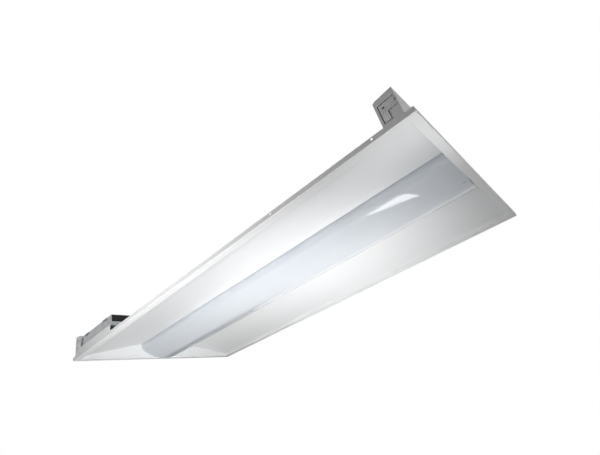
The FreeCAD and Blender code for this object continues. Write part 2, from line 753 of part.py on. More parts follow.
def plug_way():
    """Outward direction square to the lens at the plug."""
    tilt = math.asin(PLUG_OFF / LENS_CROWN_R)
    return V(0, -math.sin(tilt), -math.cos(tilt))


def plug_axis():
    """Line through the plug hole, square to the lens, from below it to above it."""
    x = WEB_X - PLUG_FROM_END
    way = plug_way()
    centre = V(x, 0, CROWN_Z)
    return (tuple(centre + way * (LENS_CROWN_R + 3)), tuple(centre + way * (LENS_CROWN_R - 6)))


def lens_plug():
    """Clear push-in plug in the lens's test hole, with a low rim outside."""
    x = WEB_X - PLUG_FROM_END
    way = plug_way()
    centre = V(x, 0, CROWN_Z)
    outer = centre + way * (LENS_CROWN_R + PLUG_RIM)
    inner = centre + way * (LENS_CROWN_R - LENS_THICK - PLUG_PAST)
    return rod(PLUG_R, tuple(inner), tuple(outer))


def lens_clips():
    """Spring clips on the lips, which press on the lens legs from both sides."""
    back = SLOT_HALF - LENS_CLIP_THICK - LENS_CLIP_FIT
    nose = LENS_HALF - LENS_CLIP_NOSE
    first_bend, nose_bend, low_end = LENS_CLIP_BENDS
    corners = [
        (back, PAN_LOW - LENS_CLIP_TOP_GAP, 0),
        (back, LENS_TOP - first_bend, LENS_CLIP_BEND_R),
        (nose, LENS_TOP - nose_bend, LENS_CLIP_BEND_R),
        (back - LOOSE, LENS_TOP - low_end, 0),
    ]
    clips = []
    first = -(LENS_CLIP_COUNT - 1) / 2
    for side in (-1, 1):
        for i in range(LENS_CLIP_COUNT):
            x = (first + i) * LENS_CLIP_SPACING
            path = [(y * side, z, r) for y, z, r in corners]
            half = LENS_CLIP_WIDTH / 2
            clips.append(long_strip(path, LENS_CLIP_THICK * side, x - half, x + half))
    return Part.makeCompound(clips)


# --- driver box ---------------------------------------------------------
def knuckle_spans(x):
    """Spans along X of the base, lid and base knuckles of one hinge."""
    half = KNUCKLE_LENGTH / 2
    step = KNUCKLE_LENGTH + KNUCKLE_GAP
    return [(x - step - half, x - step + half), (x - half, x + half), (x + step - half, x + step + half)]


def barrel(span, radius):
    return rod(radius, (span[0], HINGE_Y, HINGE_Z), (span[1], HINGE_Y, HINGE_Z))


def driver_box_base():
    """Galvanised trough with a weld flange that stands against the side panel's upstand."""
    pieces = [
        block(BOX_X0, BOX_X1, BOX_Y0, BOX_Y1, BOX_Z0, BOX_FLOOR),
        block(BOX_X0, BOX_X1, BOX_Y0, BOX_Y0 + SHEET, BOX_Z0, WALL_TOP),
        block(BOX_X0, BOX_X1, BOX_Y1 - SHEET, BOX_Y1, BOX_Z0, WALL_TOP),
        block(BOX_X0, BOX_X0 + SHEET, BOX_Y0, BOX_Y1, BOX_Z0, WALL_TOP),
        block(BOX_X1 - SHEET, BOX_X1, BOX_Y0, BOX_Y1, BOX_Z0, BOX_Z0 + BOX_LIP),
    ]
    flange_x0 = max(BOX_X0 + WELD_FLANGE_IN, -WEB_X + BRACKET_DEPTH + WELD_FLANGE_GAP)
    flange_x1 = BOX_X1 - WELD_FLANGE_END
    face = -(RIM_IN - FIT)
    pieces.append(block(flange_x0, flange_x1, face, BOX_Y0 + SHEET, BOX_Z0, BOX_FLOOR))
    pieces.append(block(flange_x0, flange_x1, face, face + SHEET, WELD_FLANGE_LOW, BOX_FLOOR))
    for x in HINGES_X:
        spans = knuckle_spans(x)
        pieces.append(barrel(spans[0], KNUCKLE_R))
        pieces.append(barrel(spans[2], KNUCKLE_R))
    base = joined(pieces)
    cuts = []
    for x in HINGES_X:
        lid_span = knuckle_spans(x)[1]
        x0 = lid_span[0] - KNUCKLE_GAP
        x1 = lid_span[1] + KNUCKLE_GAP
        z0 = HINGE_Z - KNUCKLE_R - HINGE_CUT_GAP
        cuts.append(block(x0, x1, BOX_Y0 - 3, BOX_Y0 + SHEET + 1, z0, BOX_TOP + 1))
        cuts.append(barrel((x - 30, x + 30), PIN_R + PIN_CLEAR))
    y = bushing_y()
    cuts.append(rod(BUSHING_R + FIT, (BOX_X0 - 1, y, BUSHING_Z), (BOX_X0 + 2, y, BUSHING_Z)))
    cuts.append(rod(GROMMET_R, (LEAD_HOLE_X, BOX_Y1 - 2, LED_LEAD_Z), (LEAD_HOLE_X, BOX_Y1 + 1, LED_LEAD_Z)))
    for x, y in driver_screw_places() + [ground_place()]:
        cuts.append(rod(SCREW_R + FIT, (x, y, BOX_Z0 - 1), (x, y, BOX_FLOOR + 1)))
    return base.cut(Part.makeCompound(cuts)).Solids[0]


def bushing_y():
    return BOX_Y0 + BUSHING_FROM_SIDE


def driver_box_lid():
    """Flat lid with a down-turned lip and two hinge knuckles."""
    lid_y1 = BOX_Y1 + LOOSE + SHEET
    pieces = [
        block(BOX_X0, BOX_X1, BOX_Y0, lid_y1, LID_LOW, BOX_TOP),
        block(BOX_X0, BOX_X1, lid_y1 - SHEET, lid_y1, BOX_TOP - LID_LIP, BOX_TOP),
    ]
    cuts = []
    for x in HINGES_X:
        spans = knuckle_spans(x)
        pieces.append(barrel(spans[1], KNUCKLE_R))
        pieces.append(block(spans[1][0], spans[1][1], HINGE_Y, BOX_Y0 + 1, LID_LOW, BOX_TOP))
        cuts.append(barrel((x - 30, x + 30), PIN_R + PIN_CLEAR))
        for span in (spans[0], spans[2]):
            cuts.append(block(span[0] - KNUCKLE_GAP, span[1] + KNUCKLE_GAP - FIT, BOX_Y0 - 4,
                              HINGE_Y + KNUCKLE_R + HINGE_CUT_GAP, LID_LOW - 3, BOX_TOP + 3))
    lid = joined(pieces)
    x, y = slug_place()
    cuts.append(rod(SLUG_R, (x, y, LID_LOW - 1), (x, y, BOX_TOP + 1)))
    return lid.cut(Part.makeCompound(cuts)).Solids[0]


def slug_place():
    return (BOX_X0 + SLUG_FROM_END, BOX_Y1 - SLUG_FROM_SIDE)


def knockout_slug():
    """Disc left in the lid's conduit knockout until it is punched out."""
    x, y = slug_place()
    return rod(SLUG_R - SLUG_GAP, (x, y, LID_LOW), (x, y, BOX_TOP))


def lid_hinge_pins():
    pins = []
    for x in HINGES_X:
        spans = knuckle_spans(x)
        pins.append(barrel((spans[0][0] - PIN_PAST, spans[2][1] + PIN_PAST), PIN_R))
    return Part.makeCompound(pins)


def end_cap():
    """Black moulded cap that closes the wiring end above the lip."""
    z0 = BOX_Z0 + BOX_LIP + CAP_GAP
    x1 = BOX_X1 - CAP_GAP
    x_foot = x1 - CAP_THICK
    y0 = BOX_Y0 + SHEET + CAP_SIDE_GAP
    y1 = BOX_Y1 - SHEET - CAP_SIDE_GAP
    face = block(x_foot, x1, y0, y1, z0, WALL_TOP)
    foot = block(x_foot - CAP_FOOT_THICK, x_foot, y0, y1, z0 - CAP_FOOT, z0 + CAP_FOOT_THICK)
    return joined([face, foot])


# --- driver and wiring --------------------------------------------------
def driver_screw_places():
    y = (DRIVER_Y0 + DRIVER_Y1) / 2
    reach = DRIVER_FOOT / 2
    return [(DRIVER_X0 - reach, y), (DRIVER_X1 + reach, y)]


def driver():
    """Driver can on two feet."""
    can = block(DRIVER_X0, DRIVER_X1, DRIVER_Y0, DRIVER_Y1, BOX_FLOOR, BOX_FLOOR + DRIVER_HEIGHT)
    can = can.makeFillet(DRIVER_ROUND, [e for e in can.Edges if e.CenterOfMass.z > BOX_FLOOR + 1])
    y = (DRIVER_Y0 + DRIVER_Y1) / 2
    foot = block(DRIVER_X0 - DRIVER_FOOT, DRIVER_X1 + DRIVER_FOOT, y - DRIVER_FOOT_WIDTH / 2,
                 y + DRIVER_FOOT_WIDTH / 2, BOX_FLOOR, BOX_FLOOR + DRIVER_FOOT_THICK)
    holes = [rod(SCREW_R + HOLE_FIT / 2, (x, sy, BOX_Z0), (x, sy, BOX_FLOOR + 3))
             for x, sy in driver_screw_places()]
    return joined([can, foot]).cut(Part.makeCompound(holes)).Solids[0]


def driver_screws():
    screws = []
    z = BOX_FLOOR + DRIVER_FOOT_THICK
    for x, y in driver_screw_places():
        shank = rod(SCREW_R, (x, y, BOX_Z0 - SCREW_PAST), (x, y, z))
        screws.append(joined([shank, dome(SCREW_HEAD_R, SCREW_HEAD, (x, y, z), (0, 0, 1))]))
    return Part.makeCompound(screws)


def supply_bushing():
    """Snap-in bushing that the building's supply cable comes in by."""
    y = bushing_y()
    x_out = BOX_X0 - BUSHING_FLANGE
    x_in = x_out + BUSHING_LENGTH
    body = rod(BUSHING_R, (x_out, y, BUSHING_Z), (x_in, y, BUSHING_Z))
    flange = rod(BUSHING_FLANGE_R, (x_out, y, BUSHING_Z), (BOX_X0, y, BUSHING_Z))
    bore = rod(BUSHING_BORE_R, (x_out - 1, y, BUSHING_Z), (x_in + 1, y, BUSHING_Z))
    return joined([body, flange]).cut(bore).Solids[0]


def wire_connectors():
    """Push-in connectors; their open side faces the supply bushing."""
    long, wide, high = NUT
    shapes = []
    for y in NUTS_Y:
        shell = block(NUTS_X, NUTS_X + long, y - wide / 2, y + wide / 2, BOX_FLOOR, BOX_FLOOR + high)
        upper = [e for e in shell.Edges if abs(e.CenterOfMass.z - BOX_FLOOR - high) < 0.01]
        shell = shell.makeFillet(NUT_ROUND, upper)
        z = BOX_FLOOR + high / 2
        port = rod(LEAD_R + HOLE_FIT, (NUTS_X - 1, y, z), (NUTS_X + NUT_PORT, y, z))
        shapes.append(shell.cut(port).Solids[0])
    return Part.makeCompound(shapes)


def supply_lead(row, from_edge, reach):
    """Driver lead that leaves the near end of the can and turns back to its connector."""
    z = BOX_FLOOR + NUT[2] / 2
    y = DRIVER_Y0 + from_edge
    turn = DRIVER_X1 + reach
    end = (NUTS_X + NUT[0], NUTS_Y[row], z)
    return wire_tube([(DRIVER_X1, y, z), (turn, y, z), (turn, NUTS_Y[row], z), end], LEAD_R)


def ground_place():
    return (BOX_X1 - GROUND_IN, NUTS_Y[0])


def ground_lead():
    """Bonding wire with a ring under the ground screw."""
    x, y = ground_place()
    z = BOX_FLOOR + NUT[2] / 2
    ring_top = BOX_FLOOR + RING_THICK
    ring = rod(GROUND_HEAD_R + RING_EDGE, (x, y, BOX_FLOOR), (x, y, ring_top))
    half = RING_TONGUE_WIDTH / 2
    tongue = block(x - RING_TONGUE, x, y - half, y + half, BOX_FLOOR, ring_top)
    low_z = ring_top + RING_THICK
    points = [
        (x - GROUND_CRIMP, y, low_z),
        (x - GROUND_RISE[0], y, low_z),
        (x - GROUND_RISE[1], y, z),
        (NUTS_X + NUT[0], y, z),
    ]
    run = wire_tube(points, LEAD_R)
    hole = rod(SCREW_R + HOLE_FIT / 2, (x, y, BOX_FLOOR - 1), (x, y, ring_top + 1))
    return joined([ring, tongue, run]).cut(hole).Solids[0]


def ground_screw():
    x, y = ground_place()
    z = BOX_FLOOR + RING_THICK
    shank = rod(SCREW_R, (x, y, BOX_Z0 - GROUND_SCREW_PAST), (x, y, z))
    return joined([shank, dome(GROUND_HEAD_R, GROUND_HEAD, (x, y, z), (0, 0, 1))])


def led_lead():
    """Lead from the driver, out of the box, over the wing and down through the back pan."""
    y_start = DRIVER_Y0 + LED_LEAD_IN
    over = PAN_TOP + LED_LEAD_OVER
    z_board = BOARD_LOW - CONNECTOR[2] / 2
    row = -BOARD_ROW_Y
    x_board = -(BOARD_MIDDLE_GAP / 2 + BOARD_LENGTH - CONNECTOR_END)
    return wire_tube([
        (DRIVER_X0, y_start, LED_LEAD_Z),
        (LEAD_HOLE_X, y_start, LED_LEAD_Z),
        (LEAD_HOLE_X, BOX_Y1 + LED_LEAD_CLIMB, LED_LEAD_Z),
        (LEAD_HOLE_X - LED_LEAD_SHIFT, -PAN_HALF - LED_LEAD_LAND[0], over),
        (PAN_LEAD_X + LED_LEAD_SHIFT, row - LED_LEAD_LAND[1], over),
        (PAN_LEAD_X, row, over + LED_LEAD_HUMP),
        (PAN_LEAD_X, row, z_board),
        (x_board, row, z_board),
    ], LED_LEAD_R)


def lead_bushings():
    """Grommets where the lead passes the box wall and the back pan."""
    spots = [
        ((LEAD_HOLE_X, BOX_Y1 - SHEET, LED_LEAD_Z), (0, 1, 0)),
        ((PAN_LEAD_X, -BOARD_ROW_Y, PAN_LOW), (0, 0, 1)),
    ]
    shapes = []
    for base, way in spots:
        b = V(*base)
        w = V(*way)
        neck = rod(GROMMET_R - FIT / 2, tuple(b), tuple(b + w * SHEET))
        low = rod(GROMMET_FLANGE_R, tuple(b - w * GROMMET_FLANGE), tuple(b))
        top = rod(GROMMET_FLANGE_R, tuple(b + w * SHEET), tuple(b + w * (SHEET + GROMMET_FLANGE)))
        bore = rod(LED_LEAD_R + GROMMET_LOOSE, tuple(b - w * 5), tuple(b + w * 6))
        shapes.append(joined([neck, low, top]).cut(bore).Solids[0])
    return Part.makeCompound(shapes)


# --- all nodes ----------------------------------------------------------
nodes = {
    "side_panel_left": side_panel(-1),
    "side_panel_right": side_panel(1),
    "back_pan": back_pan(),
    "back_pan_screws": pan_screws(),
    "led_packages": led_packages(),
    "board_connectors": board_connectors(),
    "board_screws": board_screws(),
    "board_jumper_wires": jumper_wires(),
    "lens": lens(),
    "lens_plug": lens_plug(),
    "lens_clips": lens_clips(),
    "driver_box_base": driver_box_base(),
    "driver_box_lid": driver_box_lid(),
    "driver_box_end_cap": end_cap(),
    "lid_hinge_pins": lid_hinge_pins(),
    "knockout_slug": knockout_slug(),
    "driver": driver(),
    "driver_screws": driver_screws(),
    "supply_bushing": supply_bushing(),
    "wire_connectors": wire_connectors(),
    "black_lead": supply_lead(2, BLACK_LEAD_IN, BLACK_LEAD_REACH),
    "white_lead": supply_lead(1, WHITE_LEAD_IN, WHITE_LEAD_REACH),
    "ground_lead": ground_lead(),
    "ground_screw": ground_screw(),
    "led_lead": led_lead(),
    "lead_bushings": lead_bushings(),
}
for end_name, end in (("near", 1), ("far", -1)):
    nodes["end_plate_" + end_name] = end_plate(end)
    nodes["end_plate_rivets_" + end_name] = end_plate_rivets(end)
    for side_name, side in (("left", -1), ("right", 1)):
        nodes["tbar_clip_" + end_name + "_" + side_name] = tbar_clip(end, side)
        nodes["led_board_" + end_name + "_" + side_name] = led_board(end, side)

for name, shape in nodes.items():
    shape.exportStep("parts/" + name + ".step")
    print(name, len(shape.Solids), "solids", shape.isValid(), round(shape.Volume / 1000, 2), "cm3")
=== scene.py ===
import math

import bmesh
import bpy
from mathutils import Euler, Matrix, Vector


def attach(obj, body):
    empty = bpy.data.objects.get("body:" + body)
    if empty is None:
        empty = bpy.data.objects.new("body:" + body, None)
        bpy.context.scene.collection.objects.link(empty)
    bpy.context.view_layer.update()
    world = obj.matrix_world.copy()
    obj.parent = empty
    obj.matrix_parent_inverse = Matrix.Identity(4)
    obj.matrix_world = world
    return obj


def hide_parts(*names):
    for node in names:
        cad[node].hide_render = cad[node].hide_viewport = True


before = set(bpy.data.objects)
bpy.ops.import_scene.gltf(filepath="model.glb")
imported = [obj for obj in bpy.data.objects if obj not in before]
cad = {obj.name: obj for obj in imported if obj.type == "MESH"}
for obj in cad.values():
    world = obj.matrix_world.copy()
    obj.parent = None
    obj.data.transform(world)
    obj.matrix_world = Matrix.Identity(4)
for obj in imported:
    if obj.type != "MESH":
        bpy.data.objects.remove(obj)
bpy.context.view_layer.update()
scene = bpy.context.scene
MM = 0.001


# --- camera -------------------------------------------------------------
# The photograph is taken from below the near left corner, with a short lens,
# looking up along the light towards its far end.
CAMERA_PLACE = (0.675114, -0.757451, -0.357898)
CAMERA_TURN = (119.573695, 13.079808, 43.024765)
camera = bpy.data.objects.new("camera", bpy.data.cameras.new("camera"))
scene.collection.objects.link(camera)
camera.location = CAMERA_PLACE
camera.rotation_euler = Euler([math.radians(angle) for angle in CAMERA_TURN], "XYZ")
camera.data.sensor_fit = "HORIZONTAL"
camera.data.sensor_width = 36.0
camera.data.lens = 22.28454
camera.data.shift_x = 0.0078992
camera.data.shift_y = -0.000242
camera.data.clip_start = 0.01
camera.data.clip_end = 100.0
scene.camera = camera
scene.view_settings.view_transform = "Standard"


# --- room ---------------------------------------------------------------
# A white studio: a pale floor well below the light, an even white surround, soft
# lamps that no gloss shows, and a card and a flag that only the gloss shows.
class Value:
    """Output of a node. Arithmetic on it adds Math nodes to the same tree."""

    def __init__(self, nodes, socket):
        self.nodes = nodes
        self.socket = socket

    def other(self, name):
        """Another output of the same node."""
        return Value(self.nodes, self.socket.node.outputs[name])

    def maths(self, operation, first, second):
        return self.nodes.add("ShaderNodeMath", {"operation": operation}, {0: first, 1: second})

    def __add__(self, other):
        return self.maths("ADD", self, other)

    __radd__ = __add__

    def __mul__(self, other):
        return self.maths("MULTIPLY", self, other)

    __rmul__ = __mul__

    def __sub__(self, other):
        return self.maths("SUBTRACT", self, other)

    def __rsub__(self, other):
        return self.maths("SUBTRACT", other, self)

    def __truediv__(self, other):
        return self.maths("DIVIDE", self, other)

    def __gt__(self, other):
        return self.maths("GREATER_THAN", self, other)

    def __lt__(self, other):
        return self.maths("LESS_THAN", self, other)

    def most(self, other):
        return self.maths("MAXIMUM", self, other)

    def size(self):
        return self.nodes.add("ShaderNodeMath", {"operation": "ABSOLUTE"}, {0: self})


class Nodes:
    """Fills one node tree."""

    def __init__(self, tree):
        self.tree = tree

    def add(self, kind, settings=None, inputs=None, output=0):
        """New node: its settings are set first, then its inputs are given or linked."""
        node = self.tree.nodes.new(kind)
        for name, setting in (settings or {}).items():
            setattr(node, name, setting)
        for key, value in (inputs or {}).items():
            if isinstance(value, Value):
                self.tree.links.new(value.socket, node.inputs[key])
            else:
                node.inputs[key].default_value = value
        return Value(self, node.outputs[output]) if node.outputs else node


def seen_rays(nodes):
    """1 for rays from the camera and for mirrored or transmitted ones, else 0."""
    ray = nodes.add("ShaderNodeLightPath", output="Is Camera Ray")
    return ray.most(ray.other("Is Glossy Ray")).most(ray.other("Is Transmission Ray"))


WHITE = (1, 1, 1, 1)


def blank_paint(name):
    """New material with an empty node tree, and the Nodes that fills it."""
    paint = bpy.data.materials.new(name)
    paint.use_nodes = True
    paint.node_tree.nodes.clear()
    return paint, Nodes(paint.node_tree)


def flat_sheet(name, corners, paint):
    """Flat sheet that stands in the studio; corners are in metres."""
    mesh = bpy.data.meshes.new(name)
    mesh.from_pydata(corners, [], [tuple(range(len(corners)))])
    mesh.materials.append(paint)
    sheet = bpy.data.objects.new(name, mesh)
    scene.collection.objects.link(sheet)
    return sheet


def gloss_sheet(name, corners, paint_name, strength):
    """Evenly glowing sheet that only the gloss shows."""
    paint, nodes = blank_paint(paint_name)
    face = nodes.add("ShaderNodeEmission", inputs={"Color": WHITE, "Strength": strength})
    nodes.add("ShaderNodeOutputMaterial", inputs={"Surface": face})
    sheet = flat_sheet(name, corners, paint)
    sheet.visible_camera = False
    sheet.visible_diffuse = False
    sheet.visible_shadow = False
    return sheet


AMBIENT = 0.10
world = bpy.data.worlds.new("white_room")
scene.world = world
world.use_nodes = True
world.node_tree.nodes.clear()
room = Nodes(world.node_tree)
surround = seen_rays(room) * (1 - AMBIENT) + AMBIENT
glow = room.add("ShaderNodeBackground", inputs={"Color": WHITE, "Strength": surround})
room.add("ShaderNodeOutputWorld", inputs={"Surface": glow})

# The floor's own glow lifts it to white in view and, less so, in mirrored rays.
FLOOR_Z = -1.6
FLOOR_HALF = 5.0
SEEN_LIFT = 0.5
CAMERA_LIFT = 0.2
floor_paint, nodes = blank_paint("pale_floor")
matt = nodes.add("ShaderNodeBsdfDiffuse", inputs={"Color": (0.85, 0.85, 0.85, 1)})
in_view = nodes.add("ShaderNodeLightPath", output="Is Camera Ray")
lift_share = seen_rays(nodes) * SEEN_LIFT + in_view * CAMERA_LIFT
lift = nodes.add("ShaderNodeEmission", inputs={"Color": WHITE, "Strength": lift_share})
both = nodes.add("ShaderNodeAddShader", inputs={0: matt, 1: lift})
nodes.add("ShaderNodeOutputMaterial", inputs={"Surface": both})
corners = [(x * FLOOR_HALF, y * FLOOR_HALF, FLOOR_Z)
           for x, y in ((-1, -1), (1, -1), (1, 1), (-1, 1))]
floor = flat_sheet("floor", corners, floor_paint)


def lamp(name, place, target, size, power, spread=180.0):
    """Soft box that shines from place to target, with a grid that narrows its spread."""
    light = bpy.data.lights.new(name, "AREA")
    light.shape = "RECTANGLE"
    light.size = size[0]
    light.size_y = size[1]
    light.energy = power
    light.spread = math.radians(spread)
    stand = bpy.data.objects.new(name, light)
    scene.collection.objects.link(stand)
    way = Vector(target) - Vector(place)
    stand.location = place
    stand.rotation_euler = way.to_track_quat("-Z", "Y").to_euler()
    stand.visible_glossy = False
    stand.visible_camera = False


# Name, place, target, size in metres, watts, and the grid's spread in degrees.
LAMPS = (
    ("grid_left", (-0.05, -0.95, -0.45), (-0.05, -0.2, 0.0), (0.4, 0.3), 0.838, 80.0),
    ("open_left", (-0.15, -0.8, -0.35), (-0.1, -0.2, 0.0), (0.5, 0.3), 1.817),
    ("grid_near_left", (0.9, -0.15, -0.75), (0.0, -0.1, 0.0), (0.3, 0.3), 0.583, 50.0),
    ("grid_near_right", (0.75, 0.25, -0.95), (0.0, 0.1, 0.0), (0.3, 0.3), 1.146, 60.0),
    ("grid_near_end", (1.5, -0.35, -0.45), (0.1, 0.0, 0.0), (0.4, 0.4), 0.12, 50.0),
    ("grid_near_low", (0.5, -0.2, -0.75), (-0.5, 0.0, 0.0), (0.4, 0.4), 0.044, 60.0),
    ("spot_near_corner", (0.64, -0.28, -0.40), (0.605, -0.25, 0.0), (0.15, 0.15), 0.08, 50.0),
    ("spot_far_end", (-0.25, 0.0, -0.35), (-0.6, 0.0, 0.02), (0.3, 0.2), 0.037, 60.0),
    ("open_far", (-0.95, 0.0, -0.5), (-0.5, 0.0, 0.0), (0.5, 0.4), 0.246),
    ("over_back", (0.0, 0.0, 1.2), (0.0, 0.0, 0.0), (1.4, 0.9), 18.0),
)
for settings in LAMPS:
    lamp(*settings)

# White card a metre below: its mirror image is the bright flame on the lens.
CARD_Z = -1.0
CARD_GLOW = 10.0
CARD = (
    (-0.020, -0.260), (0.080, -0.276), (0.177, -0.291), (0.209, -0.220), (0.239, -0.071),
    (0.256, 0.095), (0.266, 0.252), (0.232, 0.114), (0.190, 0.040), (0.0985, -0.075),
)
card = gloss_sheet("card", [(x, y, CARD_Z) for x, y in CARD], "card_glow", CARD_GLOW)

# Dark flag to the right: it keeps the far part of the lens and its right flank
# from mirroring the white room.
FLAG_Y = 2.5
FLAG_GLOW = 0.02
FLAG = ((-5.0, -1.5), (-2.4, -1.4), (-2.4, 0.2), (-5.0, 0.2))
flag = gloss_sheet("flag", [(x, FLAG_Y, z) for x, z in FLAG], "flag_felt", FLAG_GLOW)


# --- side panels --------------------------------------------------------
# One long sheet of 0.8 mm steel each side, bent to rim, ledge, curved reflector
# and lens lip, and powder coated satin white. Pop rivets hold its end tabs.

# Sizes are in mm: x along the light, y across it, z up from the plane of its face.
WIDTH_HALF = 301.625
SHEET = 0.8
RIM_TOP = 10.5
RIM_BEND = 1.5
LEDGE_IN = 283.125
RISER = (278.025, 9.6)
RISER_BEND = 6.0
RISER_HALF_TURN = 26
SLOT_HALF = 86.0
LIP_BEND = 1.6
WING_TOP = 47.5
WING_BULGE = 1.6
WING_STEPS = 28
PAN_LOW = 67.8
PAN_FLANGE = 20.0
PANEL_X = 590.075
RIM_HOLES_X = (530.8, 299.2, -365.8, -550.1)
RIM_HOLE_Z = 6.6
RIM_HOLE_R = 2.1
TAB_FIRST = 40.0
TAB_PITCH = 65.0
TABS = 3
TAB_HALF = 10.0
TAB_FOOT = 0.4
TAB_RISE = 13.0
UPSTAND_X = (-561.0, -355.0)
UPSTAND_TOP = 27.516
CREASE = 35.0


def wing_height(y):
    """Height of the reflector wing's lower face: a slope with a slight bulge."""
    share = (RISER[0] - y) / (RISER[0] - SLOT_HALF)
    return RISER[1] + share * (WING_TOP - RISER[1]) + WING_BULGE * (1 - (2 * share - 1) ** 2)


def bent_run(corners, arc_step):
    """Points (y, z, normal y, normal z) along a bent line; corners are (y, z, bend radius)."""
    run = []
    places = [Vector((y, z)) for y, z, r in corners]

    def put(point, way):
        run.append((point.x, point.y, -way.y, way.x))

    way = (places[1] - places[0]).normalized()
    put(places[0], way)
    for i in range(1, len(places) - 1):
        before = (places[i] - places[i - 1]).normalized()
        after = (places[i + 1] - places[i]).normalized()
        turn = math.atan2(before.cross(after), before.dot(after))
        reach = corners[i][2] * math.tan(abs(turn) / 2)
        signed = math.copysign(corners[i][2], turn)
        start = places[i] - before * reach
        centre = start + Vector((-before.y, before.x)) * signed
        steps = max(2, math.ceil(abs(math.degrees(turn)) / arc_step))
        for k in range(steps + 1):
            c, s = math.cos(turn * k / steps), math.sin(turn * k / steps)
            heading = Vector((before.x * c - before.y * s, before.x * s + before.y * c))
            put(centre - Vector((-heading.y, heading.x)) * signed, heading)
    put(places[-1], (places[-1] - places[-2]).normalized())
    return run


def strip_mesh(run, thickness, stations):
    """Closed strip along X; run is its near face, and its thickness lies along the normals."""
    bm = bmesh.new()
    rings = []
    for x in stations:
        near = [bm.verts.new((x * MM, y * MM, z * MM)) for y, z, ny, nz in run]
        far = [bm.verts.new((x * MM, (y + ny * thickness) * MM, (z + nz * thickness) * MM))
               for y, z, ny, nz in run]
        rings.append((near, far))
    for (near0, far0), (near1, far1) in zip(rings, rings[1:]):
        for i in range(len(run) - 1):
            bm.faces.new((near0[i], near0[i + 1], near1[i + 1], near1[i]))
            bm.faces.new((far0[i], far1[i], far1[i + 1], far0[i + 1]))
        for i in (0, len(run) - 1):
            bm.faces.new((near0[i], near1[i], far1[i], far0[i]))
    for near, far in (rings[0], rings[-1]):
        for i in range(len(run) - 1):
            bm.faces.new((near[i], near[i + 1], far[i + 1], far[i]))
    return bm


def add_block(bm, low, high):
    """Box from its two corners, in mm."""
    size = [h - l for l, h in zip(low, high)]
    middle = [(h + l) / 2 for l, h in zip(low, high)]
    place = Matrix.Translation([m * MM for m in middle])
    place = place @ Matrix.Diagonal([s * MM for s in size] + [1.0])
    bmesh.ops.create_cube(bm, size=1.0, matrix=place)


def finished(name, bm, sharp=CREASE):
    """Object at the origin from a bmesh in place, faces outwards, creased at sharp edges."""
    bmesh.ops.recalc_face_normals(bm, faces=bm.faces)
    mesh = bpy.data.meshes.new(name)
    bm.to_mesh(mesh)
    bm.free()
    piece = bpy.data.objects.new(name, mesh)
    scene.collection.objects.link(piece)
    smooth(mesh, sharp)
    return piece


def smooth(mesh, sharp):
    """Smooth faces with a crease wherever they meet at more than sharp degrees."""
    mesh.polygons.foreach_set("use_smooth", [True] * len(mesh.polygons))
    mesh.set_sharp_from_angle(angle=math.radians(sharp))
    mesh.update()


def evaluated_mesh(piece):
    """Plain mesh of a piece as its modifiers leave it."""
    bpy.context.view_layer.update()
    graph = bpy.context.evaluated_depsgraph_get()
    return bpy.data.meshes.new_from_object(piece.evaluated_get(graph))


def applied(piece):
    """Bakes a piece's modifiers into its mesh."""
    mesh = evaluated_mesh(piece)
    piece.modifiers.clear()
    old = piece.data
    piece.data = mesh
    bpy.data.meshes.remove(old)
    smooth(mesh, CREASE)
    return piece


def drilled(piece, tools):
    """Cuts tool meshes, made in one bmesh, out of a piece."""
    cutter = finished("drill", tools)
    cut = piece.modifiers.new("holes", "BOOLEAN")
    cut.operation = "DIFFERENCE"
    cut.solver = "EXACT"
    cut.object = cutter
    applied(piece)
    bpy.data.objects.remove(cutter)
    return piece


def add_rod(bm, radius, start, end, steps=32):
    """Closed round bar between two points, in mm."""
    a = Vector(start) * MM
    b = Vector(end) * MM
    turn = (b - a).to_track_quat("Z", "Y").to_matrix().to_4x4()
    place = Matrix.Translation((a + b) / 2) @ turn
    bmesh.ops.create_cone(bm, cap_ends=True, segments=steps, radius1=radius * MM,
                          radius2=radius * MM, depth=(b - a).length, matrix=place)


def surface(name, paint, **constants):
    """Material; paint(nodes) gives the varying inputs and constants the shader's fixed ones."""
    material, nodes = blank_paint(name)
    inputs = {key.replace("_", " "): value for key, value in constants.items()}
    inputs.update(paint(nodes))
    shader = nodes.add("ShaderNodeBsdfPrincipled", inputs=inputs)
    nodes.add("ShaderNodeOutputMaterial", inputs={"Surface": shader})
    return material


def noise(nodes, scale, detail=2.0, stretch=(1.0, 1.0, 1.0)):
    """Noise in Object coordinates; scale is in cycles per metre."""
    place = nodes.add("ShaderNodeTexCoord", output="Object")
    place = nodes.add("ShaderNodeMapping", inputs={"Vector": place, "Scale": stretch})
    return nodes.add("ShaderNodeTexNoise", inputs={
        "Vector": place, "Scale": scale, "Detail": detail})


def blend(nodes, share, first, second):
    """Mix of two colours."""
    return nodes.add("ShaderNodeMix", {"data_type": "RGBA"},
                     {0: share, 6: (*first, 1.0) if isinstance(first, tuple) else first,
                      7: (*second, 1.0) if isinstance(second, tuple) else second}, output=2)


def relief(nodes, height, depth):
    """Normal from a height map; depth is in metres."""
    return nodes.add("ShaderNodeBump", inputs={
        "Height": height, "Distance": depth, "Strength": 1.0})


def white_powder(nodes):
    broad = noise(nodes, 4.0)
    peel = noise(nodes, 420.0)
    specks = noise(nodes, 2200.0)
    return {
        "Base Color": blend(nodes, broad, (0.835, 0.842, 0.850), (0.862, 0.866, 0.868)),
        "Roughness": broad * 0.06 + peel * 0.08 + 0.30,
        "Normal": relief(nodes, peel * 0.8 + specks * 0.2, 0.00003),
    }


white_paint = surface("white_paint", white_powder)


def stands_for(piece, node, body="housing"):
    """Puts a finished piece in the place of a CAD node."""
    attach(piece, body)
    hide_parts(node)


